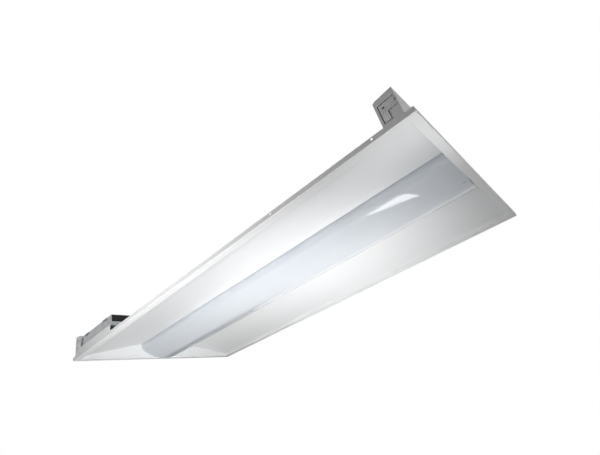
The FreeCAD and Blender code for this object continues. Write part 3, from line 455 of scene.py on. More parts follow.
def panel_run(side):
    """Section of a side panel, from the top of its rim to its flange under the back pan."""
    first = RISER[0] - RISER_BEND * math.tan(math.radians(RISER_HALF_TURN))
    last = SLOT_HALF + 3.0
    wing = []
    for k in range(WING_STEPS + 1):
        y = first + (last - first) * k / WING_STEPS
        heading = Vector((-1.0, wing_height(y - 0.5) - wing_height(y + 0.5))).normalized()
        wing.append((y, wing_height(y), -heading.y, heading.x))
    rim = bent_run([(WIDTH_HALF, RIM_TOP, 0), (WIDTH_HALF, 0, RIM_BEND), (LEDGE_IN, 0, LIP_BEND),
                    (*RISER, RISER_BEND), (*wing[1][:2], 0)], 8.0)[:-1]
    lip = bent_run([(*wing[-2][:2], 0), (SLOT_HALF, WING_TOP, LIP_BEND),
                    (SLOT_HALF, PAN_LOW, LIP_BEND), (SLOT_HALF + PAN_FLANGE, PAN_LOW, 0)],
                   10.0)[1:]
    inner = [p for p in wing if rim[-1][0] - 1.0 > p[0] > lip[0][0] + 1.0]
    return [(y * side, z, ny * side, nz) for y, z, ny, nz in rim + inner + lip]


def add_tab(bm, middle, side, end):
    """Upright tab on the back of the wing, for a rivet through the end plate."""
    low = middle - TAB_HALF
    high = middle + TAB_HALF
    top = wing_height(middle) + TAB_RISE
    outline = [(low, wing_height(low) + TAB_FOOT), (high, wing_height(high) + TAB_FOOT),
               (high, top), (low, top)]
    outer, inner = [[bm.verts.new((x * end * MM, y * side * MM, z * MM)) for y, z in outline]
                    for x in (PANEL_X, PANEL_X - SHEET)]
    bm.faces.new(outer)
    bm.faces.new(inner[::-1])
    for i in range(4):
        j = (i + 1) % 4
        bm.faces.new((outer[i], inner[i], inner[j], outer[j]))


def side_panel(node, side):
    """Side panel with its rim holes and end tabs; the left one has the upstand."""
    run = panel_run(side)
    panel = finished(node + "_sheet", strip_mesh(run, -SHEET, (-PANEL_X, 0.0, PANEL_X)))
    holes = bmesh.new()
    for x in RIM_HOLES_X:
        add_rod(holes, RIM_HOLE_R, (x, (WIDTH_HALF - 3.0) * side, RIM_HOLE_Z),
                (x, (WIDTH_HALF + 2.0) * side, RIM_HOLE_Z))
    drilled(panel, holes)
    bm = bmesh.new()
    bm.from_mesh(panel.data)
    for k in range(TABS):
        for end in (-1, 1):
            add_tab(bm, SLOT_HALF + TAB_FIRST + TAB_PITCH * k, side, end)
    if side < 0:
        add_block(bm, (UPSTAND_X[0], -WIDTH_HALF, RIM_TOP),
                  (UPSTAND_X[1], -WIDTH_HALF + SHEET, UPSTAND_TOP))
    bmesh.ops.recalc_face_normals(bm, faces=bm.faces)
    bm.to_mesh(panel.data)
    bm.free()
    smooth(panel.data, CREASE)
    panel.data.materials.append(white_paint)
    stands_for(panel, node)


side_panel("side_panel_left", -1)
side_panel("side_panel_right", 1)


# --- end plates and ceiling clips ---------------------------------------
# An end plate is one folded sheet of the same white steel: web, ledge with rim, top
# flanges, and two side brackets with a pocket behind each. The L-shaped clips are
# sheared in the brackets and bend out over the ceiling's tees.
MERGE = 0.002
FLAT_TURN = 0.4
BEVEL_TURN = 40


def sheet_copy(node, name, bevel):
    """Merged copy of a CAD node with its flat faces joined and its edges slightly broken."""
    bm = bmesh.new()
    bm.from_mesh(cad[node].data)
    bmesh.ops.remove_doubles(bm, verts=bm.verts, dist=MERGE * MM)
    bmesh.ops.dissolve_limit(bm, angle_limit=math.radians(FLAT_TURN), verts=bm.verts,
                             edges=bm.edges)
    mesh = bpy.data.meshes.new(name)
    bm.to_mesh(mesh)
    bm.free()
    smooth(mesh, CREASE)
    piece = bpy.data.objects.new(name, mesh)
    scene.collection.objects.link(piece)
    if bevel:
        edge = piece.modifiers.new("edges", "BEVEL")
        edge.width = bevel * MM
        edge.segments = 2
        edge.limit_method = "ANGLE"
        edge.angle_limit = math.radians(BEVEL_TURN)
        edge.use_clamp_overlap = False
    flat = piece.modifiers.new("flat_faces", "WEIGHTED_NORMAL")
    flat.keep_sharp = True
    return applied(piece)


def carried_over(node, material, body="housing", bevel=0.12):
    """Finished copy of a CAD node, in its place."""
    piece = sheet_copy(node, node + "_made", bevel)
    piece.data.materials.clear()
    piece.data.materials.append(material)
    stands_for(piece, node, body)


for end in ("near", "far"):
    carried_over("end_plate_" + end, white_paint, bevel=0)
    for side in ("left", "right"):
        carried_over(f"tbar_clip_{end}_{side}", white_paint, f"clip_{end}_{side}")


# --- rivets -------------------------------------------------------------
# Aluminium pop rivets with a hollow head. They join each end plate to the tabs
# behind the wings and under the back pan.
PLATE_X = 590.925
PAN_RIVET_Y = 55
PAN_RIVET_Z = 61.6
RIVET_ABOVE_WING = 7
ANY_TURN = 6.28


def lathe(name, profile, steps, place=Matrix.Identity(4)):
    """Turned piece from (radius, height) points in mm; its axis is Z before it is placed."""
    bm = bmesh.new()
    turns = [2 * math.pi * k / steps for k in range(steps)]
    rings = []
    for radius, height in profile:
        rings.append([bm.verts.new((radius * math.cos(a) * MM, radius * math.sin(a) * MM,
                                    height * MM)) for a in (turns if radius else [0.0])])
    hollow = profile[0][0] > 0
    for lower, upper in zip(rings, rings[1:] + rings[:1] if hollow else rings[1:]):
        for k in range(steps):
            j = (k + 1) % steps
            ring = [lower[k % len(lower)], lower[j % len(lower)],
                    upper[j % len(upper)], upper[k % len(upper)]]
            bm.faces.new(list(dict.fromkeys(ring)))
    bm.transform(place)
    return finished(name, bm)


def standing(point, way):
    """Placement that sets a turned piece's axis along way, with its foot at point, in mm."""
    turn = Vector(way).to_track_quat("Z", "Y").to_matrix().to_4x4()
    return Matrix.Translation(Vector(point) * MM) @ turn


def new_tree(name, sockets):
    tree = bpy.data.node_groups.new(name, "GeometryNodeTree")
    for socket, kind in sockets:
        tree.interface.new_socket(socket, in_out="INPUT", socket_type="NodeSocket" + kind)
    tree.interface.new_socket("Geometry", in_out="OUTPUT", socket_type="NodeSocketGeometry")
    return tree


def copies_on(nodes, given, points):
    """Copies of the given piece on points, turned to its facing and spun at random."""
    spin = nodes.add("FunctionNodeRandomValue", {"data_type": "FLOAT"},
                     {2: 0.0, 3: given.other("Spin"), "Seed": given.other("Seed")}, output=1)
    spin = nodes.add("ShaderNodeCombineXYZ", inputs={"Z": spin})
    spin = nodes.add("FunctionNodeEulerToRotation", inputs={"Euler": spin})
    facing = nodes.add("FunctionNodeEulerToRotation", inputs={"Euler": given.other("Facing")})
    facing = nodes.add("FunctionNodeRotateRotation", {"rotation_space": "LOCAL"},
                       {"Rotation": facing, "Rotate By": spin})
    shape = nodes.add("GeometryNodeObjectInfo", {"transform_space": "ORIGINAL"},
                      {"Object": given.other("Piece")}, output="Geometry")
    copies = nodes.add("GeometryNodeInstanceOnPoints",
                       inputs={"Points": points, "Instance": shape, "Rotation": facing})
    solid = nodes.add("GeometryNodeRealizeInstances", inputs={"Geometry": copies})
    painted = nodes.add("GeometryNodeSetMaterial", inputs={
        "Geometry": solid, "Material": given.other("Finish")})
    nodes.add("NodeGroupOutput", inputs={"Geometry": painted})


def grown(tree, name, values):
    """Plain mesh piece grown by a Geometry Nodes tree from its named inputs."""
    piece = bpy.data.objects.new(name, bpy.data.meshes.new(name))
    scene.collection.objects.link(piece)
    grow = piece.modifiers.new("grow", "NODES")
    grow.node_group = tree
    for item in tree.interface.items_tree:
        if item.in_out == "INPUT":
            grow[item.identifier] = values[item.name]
    mesh = evaluated_mesh(piece)
    piece.modifiers.clear()
    piece.data = mesh
    mesh.materials.clear()
    mesh.materials.append(values["Finish"])
    mesh.polygons.foreach_set("material_index", [0] * len(mesh.polygons))
    return piece


def together(name, groups):
    """One piece from several of the same finish."""
    finish = groups[0].data.materials[0]
    bm = bmesh.new()
    for group in groups:
        bm.from_mesh(group.data)
        bpy.data.objects.remove(group)
    piece = finished(name, bm)
    piece.data.materials.append(finish)
    return piece


rows_tree = new_tree("rows_of_pieces", (
    ("Piece", "Object"), ("Count", "Int"), ("First", "Vector"), ("Pitch", "Vector"),
    ("Rows", "Int"), ("Row pitch", "Vector"), ("Facing", "Vector"), ("Spin", "Float"),
    ("Seed", "Int"), ("Finish", "Material")))
nodes = Nodes(rows_tree)
given = nodes.add("NodeGroupInput", output="Count")
row = nodes.add("GeometryNodeMeshLine", {"mode": "OFFSET"}, {
    "Count": given, "Start Location": given.other("First"), "Offset": given.other("Pitch")})
rows = nodes.add("GeometryNodeMeshLine", {"mode": "OFFSET"}, {
    "Count": given.other("Rows"), "Offset": given.other("Row pitch")})
grid = nodes.add("GeometryNodeInstanceOnPoints", inputs={"Points": rows, "Instance": row})
copies_on(nodes, given, nodes.add("GeometryNodeRealizeInstances", inputs={"Geometry": grid}))

UPWARDS = (0.0, 0.0, 0.0)
DOWNWARDS = (math.pi, 0.0, 0.0)
TURNED_ROUND = (0.0, 0.0, math.pi)


def rows_of(name, piece, count, first, pitch, finish, rows=1, row_pitch=(0, 0, 0),
            facing=UPWARDS, spin=0.0, seed=1):
    """Rows of one piece; first and both pitches are in mm."""
    return grown(rows_tree, name, {
        "Piece": piece, "Count": count, "First": [v * MM for v in first],
        "Pitch": [v * MM for v in pitch], "Rows": rows, "Row pitch": [v * MM for v in row_pitch],
        "Facing": facing, "Spin": spin, "Seed": seed, "Finish": finish})


# Rivets along the back of the wing: the same bulged slope as wing_height, as nodes.
rivet_tree = new_tree("rivets_over_the_wing", (
    ("Piece", "Object"), ("Count", "Int"), ("From slot", "Float"), ("Pitch", "Float"),
    ("Above wing", "Float"), ("Side", "Float"), ("Plate x", "Float"), ("Facing", "Vector"),
    ("Spin", "Float"), ("Seed", "Int"), ("Finish", "Material")))
nodes = Nodes(rivet_tree)
given = nodes.add("NodeGroupInput", output="Count")
start = nodes.add("ShaderNodeCombineXYZ", inputs={"Y": given.other("From slot")})
step = nodes.add("ShaderNodeCombineXYZ", inputs={"Y": given.other("Pitch")})
line = nodes.add("GeometryNodeMeshLine", {"mode": "OFFSET"}, {
    "Count": given, "Start Location": start, "Offset": step})
place = nodes.add("GeometryNodeInputPosition")
outward = nodes.add("ShaderNodeSeparateXYZ", inputs={0: place}, output="Y")
share = 1 - outward / ((RISER[0] - SLOT_HALF) * MM)
bulge = (1 - (share * 2 - 1) * (share * 2 - 1)) * (WING_BULGE * MM)
height = share * ((WING_TOP - RISER[1]) * MM) + bulge + RISER[1] * MM + given.other("Above wing")
across = (outward + SLOT_HALF * MM) * given.other("Side")
place = nodes.add("ShaderNodeCombineXYZ", inputs={
    "X": given.other("Plate x"), "Y": across, "Z": height})
placed = nodes.add("GeometryNodeSetPosition", inputs={"Geometry": line, "Position": place})
copies_on(nodes, given, placed)


def mill_aluminium(nodes):
    cloud = noise(nodes, 500.0)
    return {
        "Base Color": blend(nodes, cloud, (0.58, 0.59, 0.60), (0.70, 0.71, 0.72)),
        "Roughness": cloud * 0.12 + 0.34,
    }


aluminium_rivet = surface("aluminium_rivet", mill_aluminium, Metallic=1.0)
rivet = lathe("pop_rivet", [
    (0, -4.0), (1.3, -4.0), (1.95, -3.6), (2.2, -2.9), (2.1, -2.1), (1.7, -1.66), (1.6, -1.6),
    (1.6, 0.0), (3.2, 0.0), (3.2, 0.25), (3.0, 0.62), (2.5, 0.88), (1.7, 1.0), (1.15, 1.0),
    (0.95, 0.82), (0.95, 0.3), (0, 0.3)], 24)
for end, end_name in ((1, "near"), (-1, "far")):
    facing = (0.0, end * math.pi / 2, 0.0)
    plate_x = PLATE_X * end
    groups = [rows_of("pan_rivets", rivet, 2, (plate_x, -PAN_RIVET_Y, PAN_RIVET_Z),
                      (0, 2 * PAN_RIVET_Y, 0), aluminium_rivet, facing=facing)]
    for side in (-1, 1):
        groups.append(grown(rivet_tree, "wing_rivets", {
            "Piece": rivet, "Count": TABS, "From slot": TAB_FIRST * MM, "Pitch": TAB_PITCH * MM,
            "Above wing": RIVET_ABOVE_WING * MM, "Side": float(side), "Plate x": plate_x * MM,
            "Facing": facing, "Spin": ANY_TURN, "Seed": 5 + side, "Finish": aluminium_rivet}))
    rivets = together(f"pop_rivets_{end_name}", groups)
    stands_for(rivets, f"end_plate_rivets_{end_name}")
bpy.data.objects.remove(rivet)


# --- back pan -----------------------------------------------------------
# Flat galvanised pan over the lamp slot, held to the lips of both side panels
# with zinc plated self-tapping screws. It carries the light boards.
def zinc_spangle(nodes):
    place = nodes.add("ShaderNodeTexCoord", output="Object")
    wobble = nodes.add("ShaderNodeTexNoise", inputs={
        "Vector": place, "Scale": 90.0, "Detail": 2.0}, output="Color")
    bent = nodes.add("ShaderNodeVectorMath", {"operation": "SCALE"}, {0: wobble, "Scale": 0.006})
    place = nodes.add("ShaderNodeVectorMath", {"operation": "ADD"}, {0: place, 1: bent})
    flake = nodes.add("ShaderNodeTexVoronoi", {"feature": "F1"}, {
        "Vector": place, "Scale": 110.0}, output="Color")
    tone = nodes.add("ShaderNodeSeparateColor", inputs={0: flake})
    fine = noise(nodes, 1300.0)
    rolled = noise(nodes, 60.0, 2.0, (0.04, 1.0, 1.0))
    shade = tone * 0.55 + rolled * 0.30 + fine * 0.15
    return {
        "Base Color": blend(nodes, shade, (0.30, 0.31, 0.32), (0.47, 0.485, 0.50)),
        "Roughness": tone.other("Green") * 0.16 + fine * 0.06 + 0.34,
        "Normal": relief(nodes, fine * 0.5 + tone.other("Blue") * 0.5, 0.00002),
    }


galvanised = surface("galvanised", zinc_spangle, Metallic=0.9)
carried_over("back_pan", galvanised)


def add_prism(bm, outline, low, high):
    """Upright prism over an outline of (x, y) points, in mm."""
    rings = [[bm.verts.new((x * MM, y * MM, z * MM)) for x, y in outline] for z in (low, high)]
    bm.faces.new(rings[0][::-1])
    bm.faces.new(rings[1])
    for k in range(len(outline)):
        j = (k + 1) % len(outline)
        bm.faces.new((rings[0][k], rings[0][j], rings[1][j], rings[1][k]))


def screw(name, radius, length, head_radius, head_height, sides=24):
    """Domed screw with a cross recess and a 1 mm thread; its head stands on z = 0."""
    root = radius * 0.86
    profile = [(0, -length), (radius * 0.45, -length), (root, -length + 0.9)]
    for k in range(int(length - 1.5)):
        profile += [(radius, -length + 1.2 + k), (root, -length + 1.65 + k)]
    profile += [(radius, 0), (head_radius, 0), (head_radius, head_height * 0.3)]
    for angle in (15, 30, 45, 60, 75):
        a = math.radians(angle)
        profile.append((head_radius * math.cos(a) ** 0.7,
                        head_height * (0.3 + 0.7 * math.sin(a))))
    arm = head_radius * 0.55
    rib = head_radius * 0.14
    outline = [(arm, -rib), (arm, rib), (rib, rib), (rib, arm), (-rib, arm), (-rib, rib),
               (-arm, rib), (-arm, -rib), (-rib, -rib), (-rib, -arm), (rib, -arm), (rib, -rib)]
    cross = bmesh.new()
    add_prism(cross, outline, head_height * 0.45, head_height + 1.0)
    return drilled(lathe(name, profile + [(0, head_height)], sides), cross)


def zinc_plate(nodes):
    cloud = noise(nodes, 700.0)
    return {
        "Base Color": blend(nodes, cloud, (0.46, 0.47, 0.48), (0.60, 0.61, 0.62)),
        "Roughness": cloud * 0.16 + 0.24,
    }


zinc_screw = surface("zinc_screw", zinc_plate, Metallic=1.0)
PAN_TOP = 68.6
PAN_SCREW_Y = 96
template = screw("pan_screw", 2.0, 7.0, 3.8, 2.4)
screws = rows_of("pan_screws", template, 5, (-540, -PAN_SCREW_Y, PAN_TOP), (270, 0, 0),
                 zinc_screw, 2, (0, 2 * PAN_SCREW_Y, 0), spin=ANY_TURN, seed=3)
stands_for(screws, "back_pan_screws")
bpy.data.objects.remove(template)


# --- light boards -------------------------------------------------------
# Four boards with white solder mask lie under the pan, end to end in two rows.
# Small domed screws go up through them into the pan.
BOARD_LOW = 66.2
BOARD_SCREW_Y = 48
ROW_Y = 38.0
LED_FIRST = 25.0
LED_PITCH = 20.0


def solder_mask(nodes):
    place = nodes.add("ShaderNodeTexCoord", output="Object")
    apart = nodes.add("ShaderNodeSeparateXYZ", inputs={0: place})
    across = (apart.other("Y").size() - ROW_Y * MM).size()
    from_end = apart.size() - (LED_FIRST - LED_PITCH) * MM
    along = nodes.add("ShaderNodeMath", {"operation": "PINGPONG"}, {
        0: from_end, 1: LED_PITCH / 2 * MM})
    pads = (along > 0.0013) * (along < 0.0026) * (across < 0.0013)
    track = (across > 0.0044) * (across < 0.0072) + (along > 0.0026) * (across < 0.0006)
    grain = noise(nodes, 900.0)
    mask = blend(nodes, grain, (0.80, 0.81, 0.79), (0.85, 0.86, 0.84))
    mask = blend(nodes, track * 0.6, mask, (0.70, 0.73, 0.68))
    return {
        "Base Color": blend(nodes, pads, mask, (0.62, 0.63, 0.64)),
        "Metallic": pads,
        "Roughness": grain * 0.10 + 0.32,
        "Normal": relief(nodes, track + pads, 0.00004),
    }


circuit_board = surface("circuit_board", solder_mask)
for end in ("near", "far"):
    for side in ("left", "right"):
        carried_over(f"led_board_{end}_{side}", circuit_board, bevel=0.05)

template = screw("board_screw", 1.5, 4.0, 2.8, 1.8, 20)
screws = [rows_of("board_screw_rows", template, 3, (45 * end, -BOARD_SCREW_Y, BOARD_LOW),
                  (240 * end, 0, 0), zinc_screw, 2, (0, 2 * BOARD_SCREW_Y, 0), DOWNWARDS,
                  ANY_TURN, 11 + end) for end in (-1, 1)]
stands_for(together("board_screws_made", screws), "board_screws")
bpy.data.objects.remove(template)


# --- LED packages -------------------------------------------------------
# Square white packages of 3 mm with a yellow phosphor window, 27 in a row on
# each board, soldered between two pads.
def moulded(name, light, dark, rough, **constants):
    """Moulded plastic with faint clouds and a fine eroded skin."""
    def skin(nodes):
        cloud = noise(nodes, 60.0)
        fine = noise(nodes, 1100.0)
        return {
            "Base Color": blend(nodes, cloud, dark, light),
            "Roughness": fine * 0.14 + rough,
            "Normal": relief(nodes, fine, 0.00002),
        }
    return surface(name, skin, **constants)


def phosphor(nodes):
    grain = noise(nodes, 4000.0)
    return {
        "Base Color": blend(nodes, grain, (0.84, 0.60, 0.08), (0.92, 0.72, 0.16)),
        "Roughness": grain * 0.1 + 0.40,
    }


white_plastic = moulded("white_plastic", (0.84, 0.84, 0.82), (0.78, 0.78, 0.76), 0.34)
led_phosphor = surface("led_phosphor", phosphor, Coat_Weight=0.6)

LEDS_IN_ROW = 27
LED_HALF = 1.5
LED_TOP = 0.68
bm = bmesh.new()
add_block(bm, (-LED_HALF, -LED_HALF, 0), (LED_HALF, LED_HALF, LED_TOP))
top = [f for f in bm.faces if f.calc_center_median().z > LED_TOP * 0.9 * MM]
bmesh.ops.inset_region(bm, faces=top, thickness=0.3 * MM)
sunk = list({v for f in top for v in f.verts})
bmesh.ops.translate(bm, verts=sunk, vec=(0, 0, -0.15 * MM))
package = finished("package", bm)
window = lathe("window", [(0, 0.45), (1.15, 0.45), (1.15, 0.56), (0.8, 0.62), (0, 0.64)], 12)
for template, name, finish, slot in ((package, "led_bodies", white_plastic, "white_plastic"),
                                     (window, "led_windows", led_phosphor, "led_phosphor")):
    leds = [rows_of(name, template, LEDS_IN_ROW, (LED_FIRST * end, -ROW_Y, BOARD_LOW),
                    (LED_PITCH * end, 0, 0), finish, 2, (0, 2 * ROW_Y, 0), DOWNWARDS)
            for end in (-1, 1)]
    stands_for(together(name, leds), "led_packages")
    bpy.data.objects.remove(template)


# --- board connectors and jumpers ---------------------------------------
# A white two-way connector stands at each end of a board. Short red wires join the
# boards across the middle and the two rows at the near end.
PIN_Y = 1.2
bm = bmesh.new()
add_block(bm, (0, -4, -5), (10, 4, 0))
connector = finished("connector", bm)
edges = connector.modifiers.new("edges", "BEVEL")
edges.width = 0.3 * MM
edges.segments = 2
applied(connector)
ports = bmesh.new()
for y in (-PIN_Y, PIN_Y):
    add_rod(ports, 0.95, (-1.0, y, -2.5), (3.0, y, -2.5), 16)
for y in (-2.4, 0.9):
    add_block(ports, (4.2, y, -6.0), (6.8, y + 1.5, -4.3))
drilled(connector, ports)
pairs = [rows_of("connector_rows", connector, 2, (x, -ROW_Y, BOARD_LOW), (570, 0, 0),
                 white_plastic, 2, (0, 2 * ROW_Y, 0), facing)
         for x, facing in ((-563, UPWARDS), (-7, TURNED_ROUND))]
stands_for(together("connectors", pairs), "board_connectors")
bpy.data.objects.remove(connector)


def wires(name, routes, radius, finish):
    """Insulated wires, each on one smooth line that follows its route, in mm."""
    line = bpy.data.curves.new(name, "CURVE")
    line.dimensions = "3D"
    line.bevel_depth = radius * MM
    line.bevel_resolution = 4
    line.resolution_u = 14
    line.use_fill_caps = True
    for route in routes:
        spline = line.splines.new("NURBS")
        spline.points.add(len(route) - 1)
        for point, place in zip(spline.points, route):
            point.co = (*(v * MM for v in place), 1.0)
        spline.order_u = 3
        spline.use_endpoint_u = True
    piece = bpy.data.objects.new(name, line)
    scene.collection.objects.link(piece)
    mesh = evaluated_mesh(piece)
    bpy.data.objects.remove(piece)
    bm = bmesh.new()
    bm.from_mesh(mesh)
    bmesh.ops.remove_doubles(bm, verts=bm.verts, dist=0.001 * MM)
    piece = finished(name, bm, 50.0)
    piece.data.materials.clear()
    piece.data.materials.append(finish)
    return piece


red_wire = moulded("red_wire", (0.56, 0.05, 0.04), (0.44, 0.03, 0.03), 0.30)
JUMPER_R = 0.8
JUMPER_SAG = 1.2
WIRE_Z = BOARD_LOW - 2.5
routes = []
for y in (-ROW_Y - PIN_Y, -ROW_Y + PIN_Y, ROW_Y - PIN_Y, ROW_Y + PIN_Y):
    routes.append([(-8.5, y, WIRE_Z), (-6, y, WIRE_Z), (0, y, WIRE_Z - JUMPER_SAG),
                   (6, y, WIRE_Z), (8.5, y, WIRE_Z)])
for apart in (-PIN_Y, PIN_Y):
    y = ROW_Y + apart
    turn = 572.0 + apart
    routes.append([(561.5, -y, WIRE_Z), (turn, -y, WIRE_Z), (turn, y, WIRE_Z),
                   (561.5, y, WIRE_Z)])
stands_for(wires("jumpers", routes, JUMPER_R, red_wire), "board_jumper_wires")


# --- lens clips ---------------------------------------------------------
# Folded strips of spring steel on the lips of both side panels, four a side.
# Their noses press on the upright legs of the lens.
def bright_spring(nodes):
    drawn = noise(nodes, 500.0, 3.0, (0.06, 1.0, 1.0))
    return {
        "Base Color": blend(nodes, drawn, (0.38, 0.38, 0.39), (0.52, 0.52, 0.53)),
        "Roughness": drawn * 0.14 + 0.24,
    }


spring_steel = surface("spring_steel", bright_spring, Metallic=1.0)
CLIP_SHEET = 0.4
fold = bent_run([(85.5, 65.8, 0), (85.5, 58.5, 1.0), (83.616, 55.0, 1.0), (85.2, 51.0, 0)], 15.0)
template = finished("lens_clip", strip_mesh(fold, CLIP_SHEET, (-10.0, -4.0, 4.0, 10.0)))
clips = [rows_of("lens_clip_rows", template, 4, (-435, 0, 0), (290, 0, 0), spring_steel,
                 facing=facing) for facing in (UPWARDS, TURNED_ROUND)]
stands_for(together("lens_clips_made", clips), "lens_clips")
bpy.data.objects.remove(template)


# --- lens ---------------------------------------------------------------
# Extruded 2 mm acrylic with a bowed face and upright legs, frosted in the mass
# and glossy outside. It snaps between the spring clips.
# FLANK is the slope of the face where it meets the legs, in radians.
LENS_HALF = 84.7
LENS_X = 589.125
LENS_BOTTOM = -1.5
LENS_WALL = 2.0
LEG_TOP = 60.0
LEG_LEAN = 2.2
LEG_BEND = (41.5, 30.0)
SHOULDER_BEND = 17.8
CROWN_R = 127.563
FLANK = 0.6526351
PLUG_X = 578.725
PLUG_OFF = 20.6
PLUG_HOLE_R = 4.03

corner_z = LENS_BOTTOM - CROWN_R * (1 / math.cos(FLANK) - 1)
shoulder_z = corner_z + LENS_HALF * math.tan(FLANK)
half = [(LENS_HALF - LEG_LEAN, LEG_TOP, 0), (LENS_HALF, *LEG_BEND),
        (LENS_HALF, shoulder_z, SHOULDER_BEND)]
outline = [(-y, z, r) for y, z, r in half] + [(0, corner_z, CROWN_R)] + half[::-1]
stations = (-LENS_X, 0.0, PLUG_X - 9.0, PLUG_X + 7.0, LENS_X)
lens = finished("lens_cover", strip_mesh(bent_run(outline, 1.5), LENS_WALL, stations))
tilt = math.asin(PLUG_OFF / CROWN_R)
plug_way = Vector((0, -math.sin(tilt), -math.cos(tilt)))
crown = Vector((PLUG_X, 0, LENS_BOTTOM + CROWN_R))
hole = bmesh.new()
add_rod(hole, PLUG_HOLE_R, crown + plug_way * (CROWN_R + 3), crown + plug_way * (CROWN_R - 6), 48)
drilled(lens, hole)


def opal_acrylic(nodes):
    cloud = noise(nodes, 6.0)
    grain = noise(nodes, 900.0)
    return {
        "Base Color": blend(nodes, cloud, (0.845, 0.912, 0.988), (0.857, 0.922, 0.992)),
        "Roughness": grain * 0.06 + 0.30,
    }


frosted_acrylic = surface(
    "frosted_acrylic", opal_acrylic, IOR=1.49, Coat_Weight=1.0, Coat_Roughness=0.015,
    Coat_IOR=1.49, Specular_IOR_Level=0.0, Subsurface_Weight=0.5, Subsurface_Scale=0.03,
    Subsurface_Radius=(1.0, 1.0, 1.0))
lens.data.materials.append(frosted_acrylic)
stands_for(lens, "lens", "lens")


# --- lens plug ----------------------------------------------------------
# Small clear push-in plug with a low rounded rim, pressed into the test hole
# near the end of the lens. It stands square to the curved face.
def clear_moulding(nodes):
    speck = noise(nodes, 1500.0)
    return {
        "Base Color": blend(nodes, speck, (0.50, 0.54, 0.58), (0.56, 0.60, 0.64)),
        "Roughness": speck * 0.06 + 0.12,
    }


clear_plug = surface("clear_plug", clear_moulding, IOR=1.49, Coat_Weight=1.0, Coat_Roughness=0.02)
plug = lathe("plug", [
    (0, -3.0), (3.3, -3.0), (3.97, -2.5), (3.97, -0.25), (3.85, -0.02), (3.4, 0.10),
    (2.9, 0.02), (0, -0.02)], 40, standing(crown + plug_way * CROWN_R, plug_way))
plug.data.materials.append(clear_plug)
stands_for(plug, "lens_plug", "lens")


# --- driver box ---------------------------------------------------------
# Galvanised trough behind the left wing, spot welded to the upstand, with a hinged
# lid, its conduit knockout and a near-black cap over the wiring end, whose dark is
# partly black plastic and partly painted shade. A grey bushing, slit to snap into the
# end wall, takes the supply cable.
carried_over("driver_box_base", galvanised, bevel=0.1)
carried_over("driver_box_lid", galvanised, "box_lid", bevel=0.1)
carried_over("knockout_slug", galvanised, "box_lid", bevel=0.12)
carried_over("lid_hinge_pins", zinc_screw, bevel=0.2)
# The end cap's near-black, kept dull with little shine, is partly painted shade: it stands for
# the deep shade in the wiring end of the box. The collars and grommets are plain black plastic.
black_plastic = moulded("black_plastic", (0.012, 0.012, 0.013), (0.007, 0.007, 0.008), 0.50,
                        Specular_IOR_Level=0.25)
carried_over("driver_box_end_cap", black_plastic, bevel=0.4)

BUSHING = (-560.0, -278.025, 43.516)
SLITS = 4
SLIT_TURN = 0.4
grey_plastic = moulded("grey_plastic", (0.56, 0.57, 0.58), (0.50, 0.51, 0.52), 0.36)
in_wall = standing(BUSHING, (1, 0, 0))
bushing = lathe("bushing", [
    (8.0, 0.7), (8.7, 0.0), (12.2, 0.0), (13.0, 0.8), (13.0, 2.0), (11.0, 2.0), (11.0, 2.9),
    (11.0, 4.2), (10.8, 8.0), (10.2, 12.0), (8.0, 12.0)], 56, in_wall)
slits = bmesh.new()
for k in range(SLITS):
    slit = bmesh.new()
    add_block(slit, (7.0, -1.0, 4.5), (13.0, 1.0, 14.0))
    slit.transform(in_wall @ Matrix.Rotation(2 * math.pi / SLITS * k + SLIT_TURN, 4, "Z"))
    cut = bpy.data.meshes.new("slit")
    slit.to_mesh(cut)
    slit.free()
    slits.from_mesh(cut)
drilled(bushing, slits)
bushing.data.materials.append(grey_plastic)
stands_for(bushing, "supply_bushing")


# --- driver -------------------------------------------------------------
# White enamelled can on two feet, with a folded cover pressed over its top and a
# rubber collar where each lead leaves it. Two zinc plated screws hold the feet.
BOX_FLOOR = 27.816
DRIVER = (-530.0, -385.0, -250.025, -209.025)


def white_enamel(nodes):
    broad = noise(nodes, 12.0)
    peel = noise(nodes, 600.0)
    return {
        "Base Color": blend(nodes, broad, (0.78, 0.79, 0.79), (0.83, 0.84, 0.84)),
        "Roughness": peel * 0.08 + 0.28,
        "Normal": relief(nodes, peel, 0.00002),
    }


driver_can = surface("driver_can", white_enamel)
carried_over("driver", driver_can, bevel=0.15)
x0, x1, y0, y1 = DRIVER
foot = BOX_FLOOR + 11.0
top = BOX_FLOOR + 23.4
folded = bent_run([(y0, foot, 0), (y0, top, 1.5), (y1, top, 1.5), (y1, foot, 0)], 15.0)
cover = finished("driver_cover", strip_mesh(folded, 0.5, (x0 + 3.0, x1 - 3.0)))
cover.data.materials.append(driver_can)
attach(cover, "housing")

template = screw("driver_screw", 2.0, 2.8, 3.8, 2.4)
screws = rows_of("driver_screws_made", template, 2, (-534.5, -229.525, BOX_FLOOR + 1),
                 (154, 0, 0), zinc_screw, spin=ANY_TURN, seed=4)
stands_for(screws, "driver_screws")
bpy.data.objects.remove(template)

MAINS_R = 1.3
LED_LEAD_R = 2.0
BLACK_Y = -246.025
WHITE_Y = -240.025
LED_LEAD_Y = -236.025
LEAD_Z = BOX_FLOOR + 4.0
LED_LEAD_Z = 42.016
for number, (place, way, radius) in enumerate((
        ((x1, BLACK_Y, LEAD_Z), (1, 0, 0), MAINS_R),
        ((x1, WHITE_Y, LEAD_Z), (1, 0, 0), MAINS_R),
        ((x0, LED_LEAD_Y, LED_LEAD_Z), (-1, 0, 0), LED_LEAD_R))):
    bore = radius + 0.05
    rim = radius + 1.2
    collar = lathe(f"lead_collar_{number}", [
        (bore, -0.5), (rim, -0.5), (rim, 0.8), (radius + 0.7, 2.6), (bore, 2.8)],
        24, standing(place, way))
    collar.data.materials.append(black_plastic)
    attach(collar, "housing")


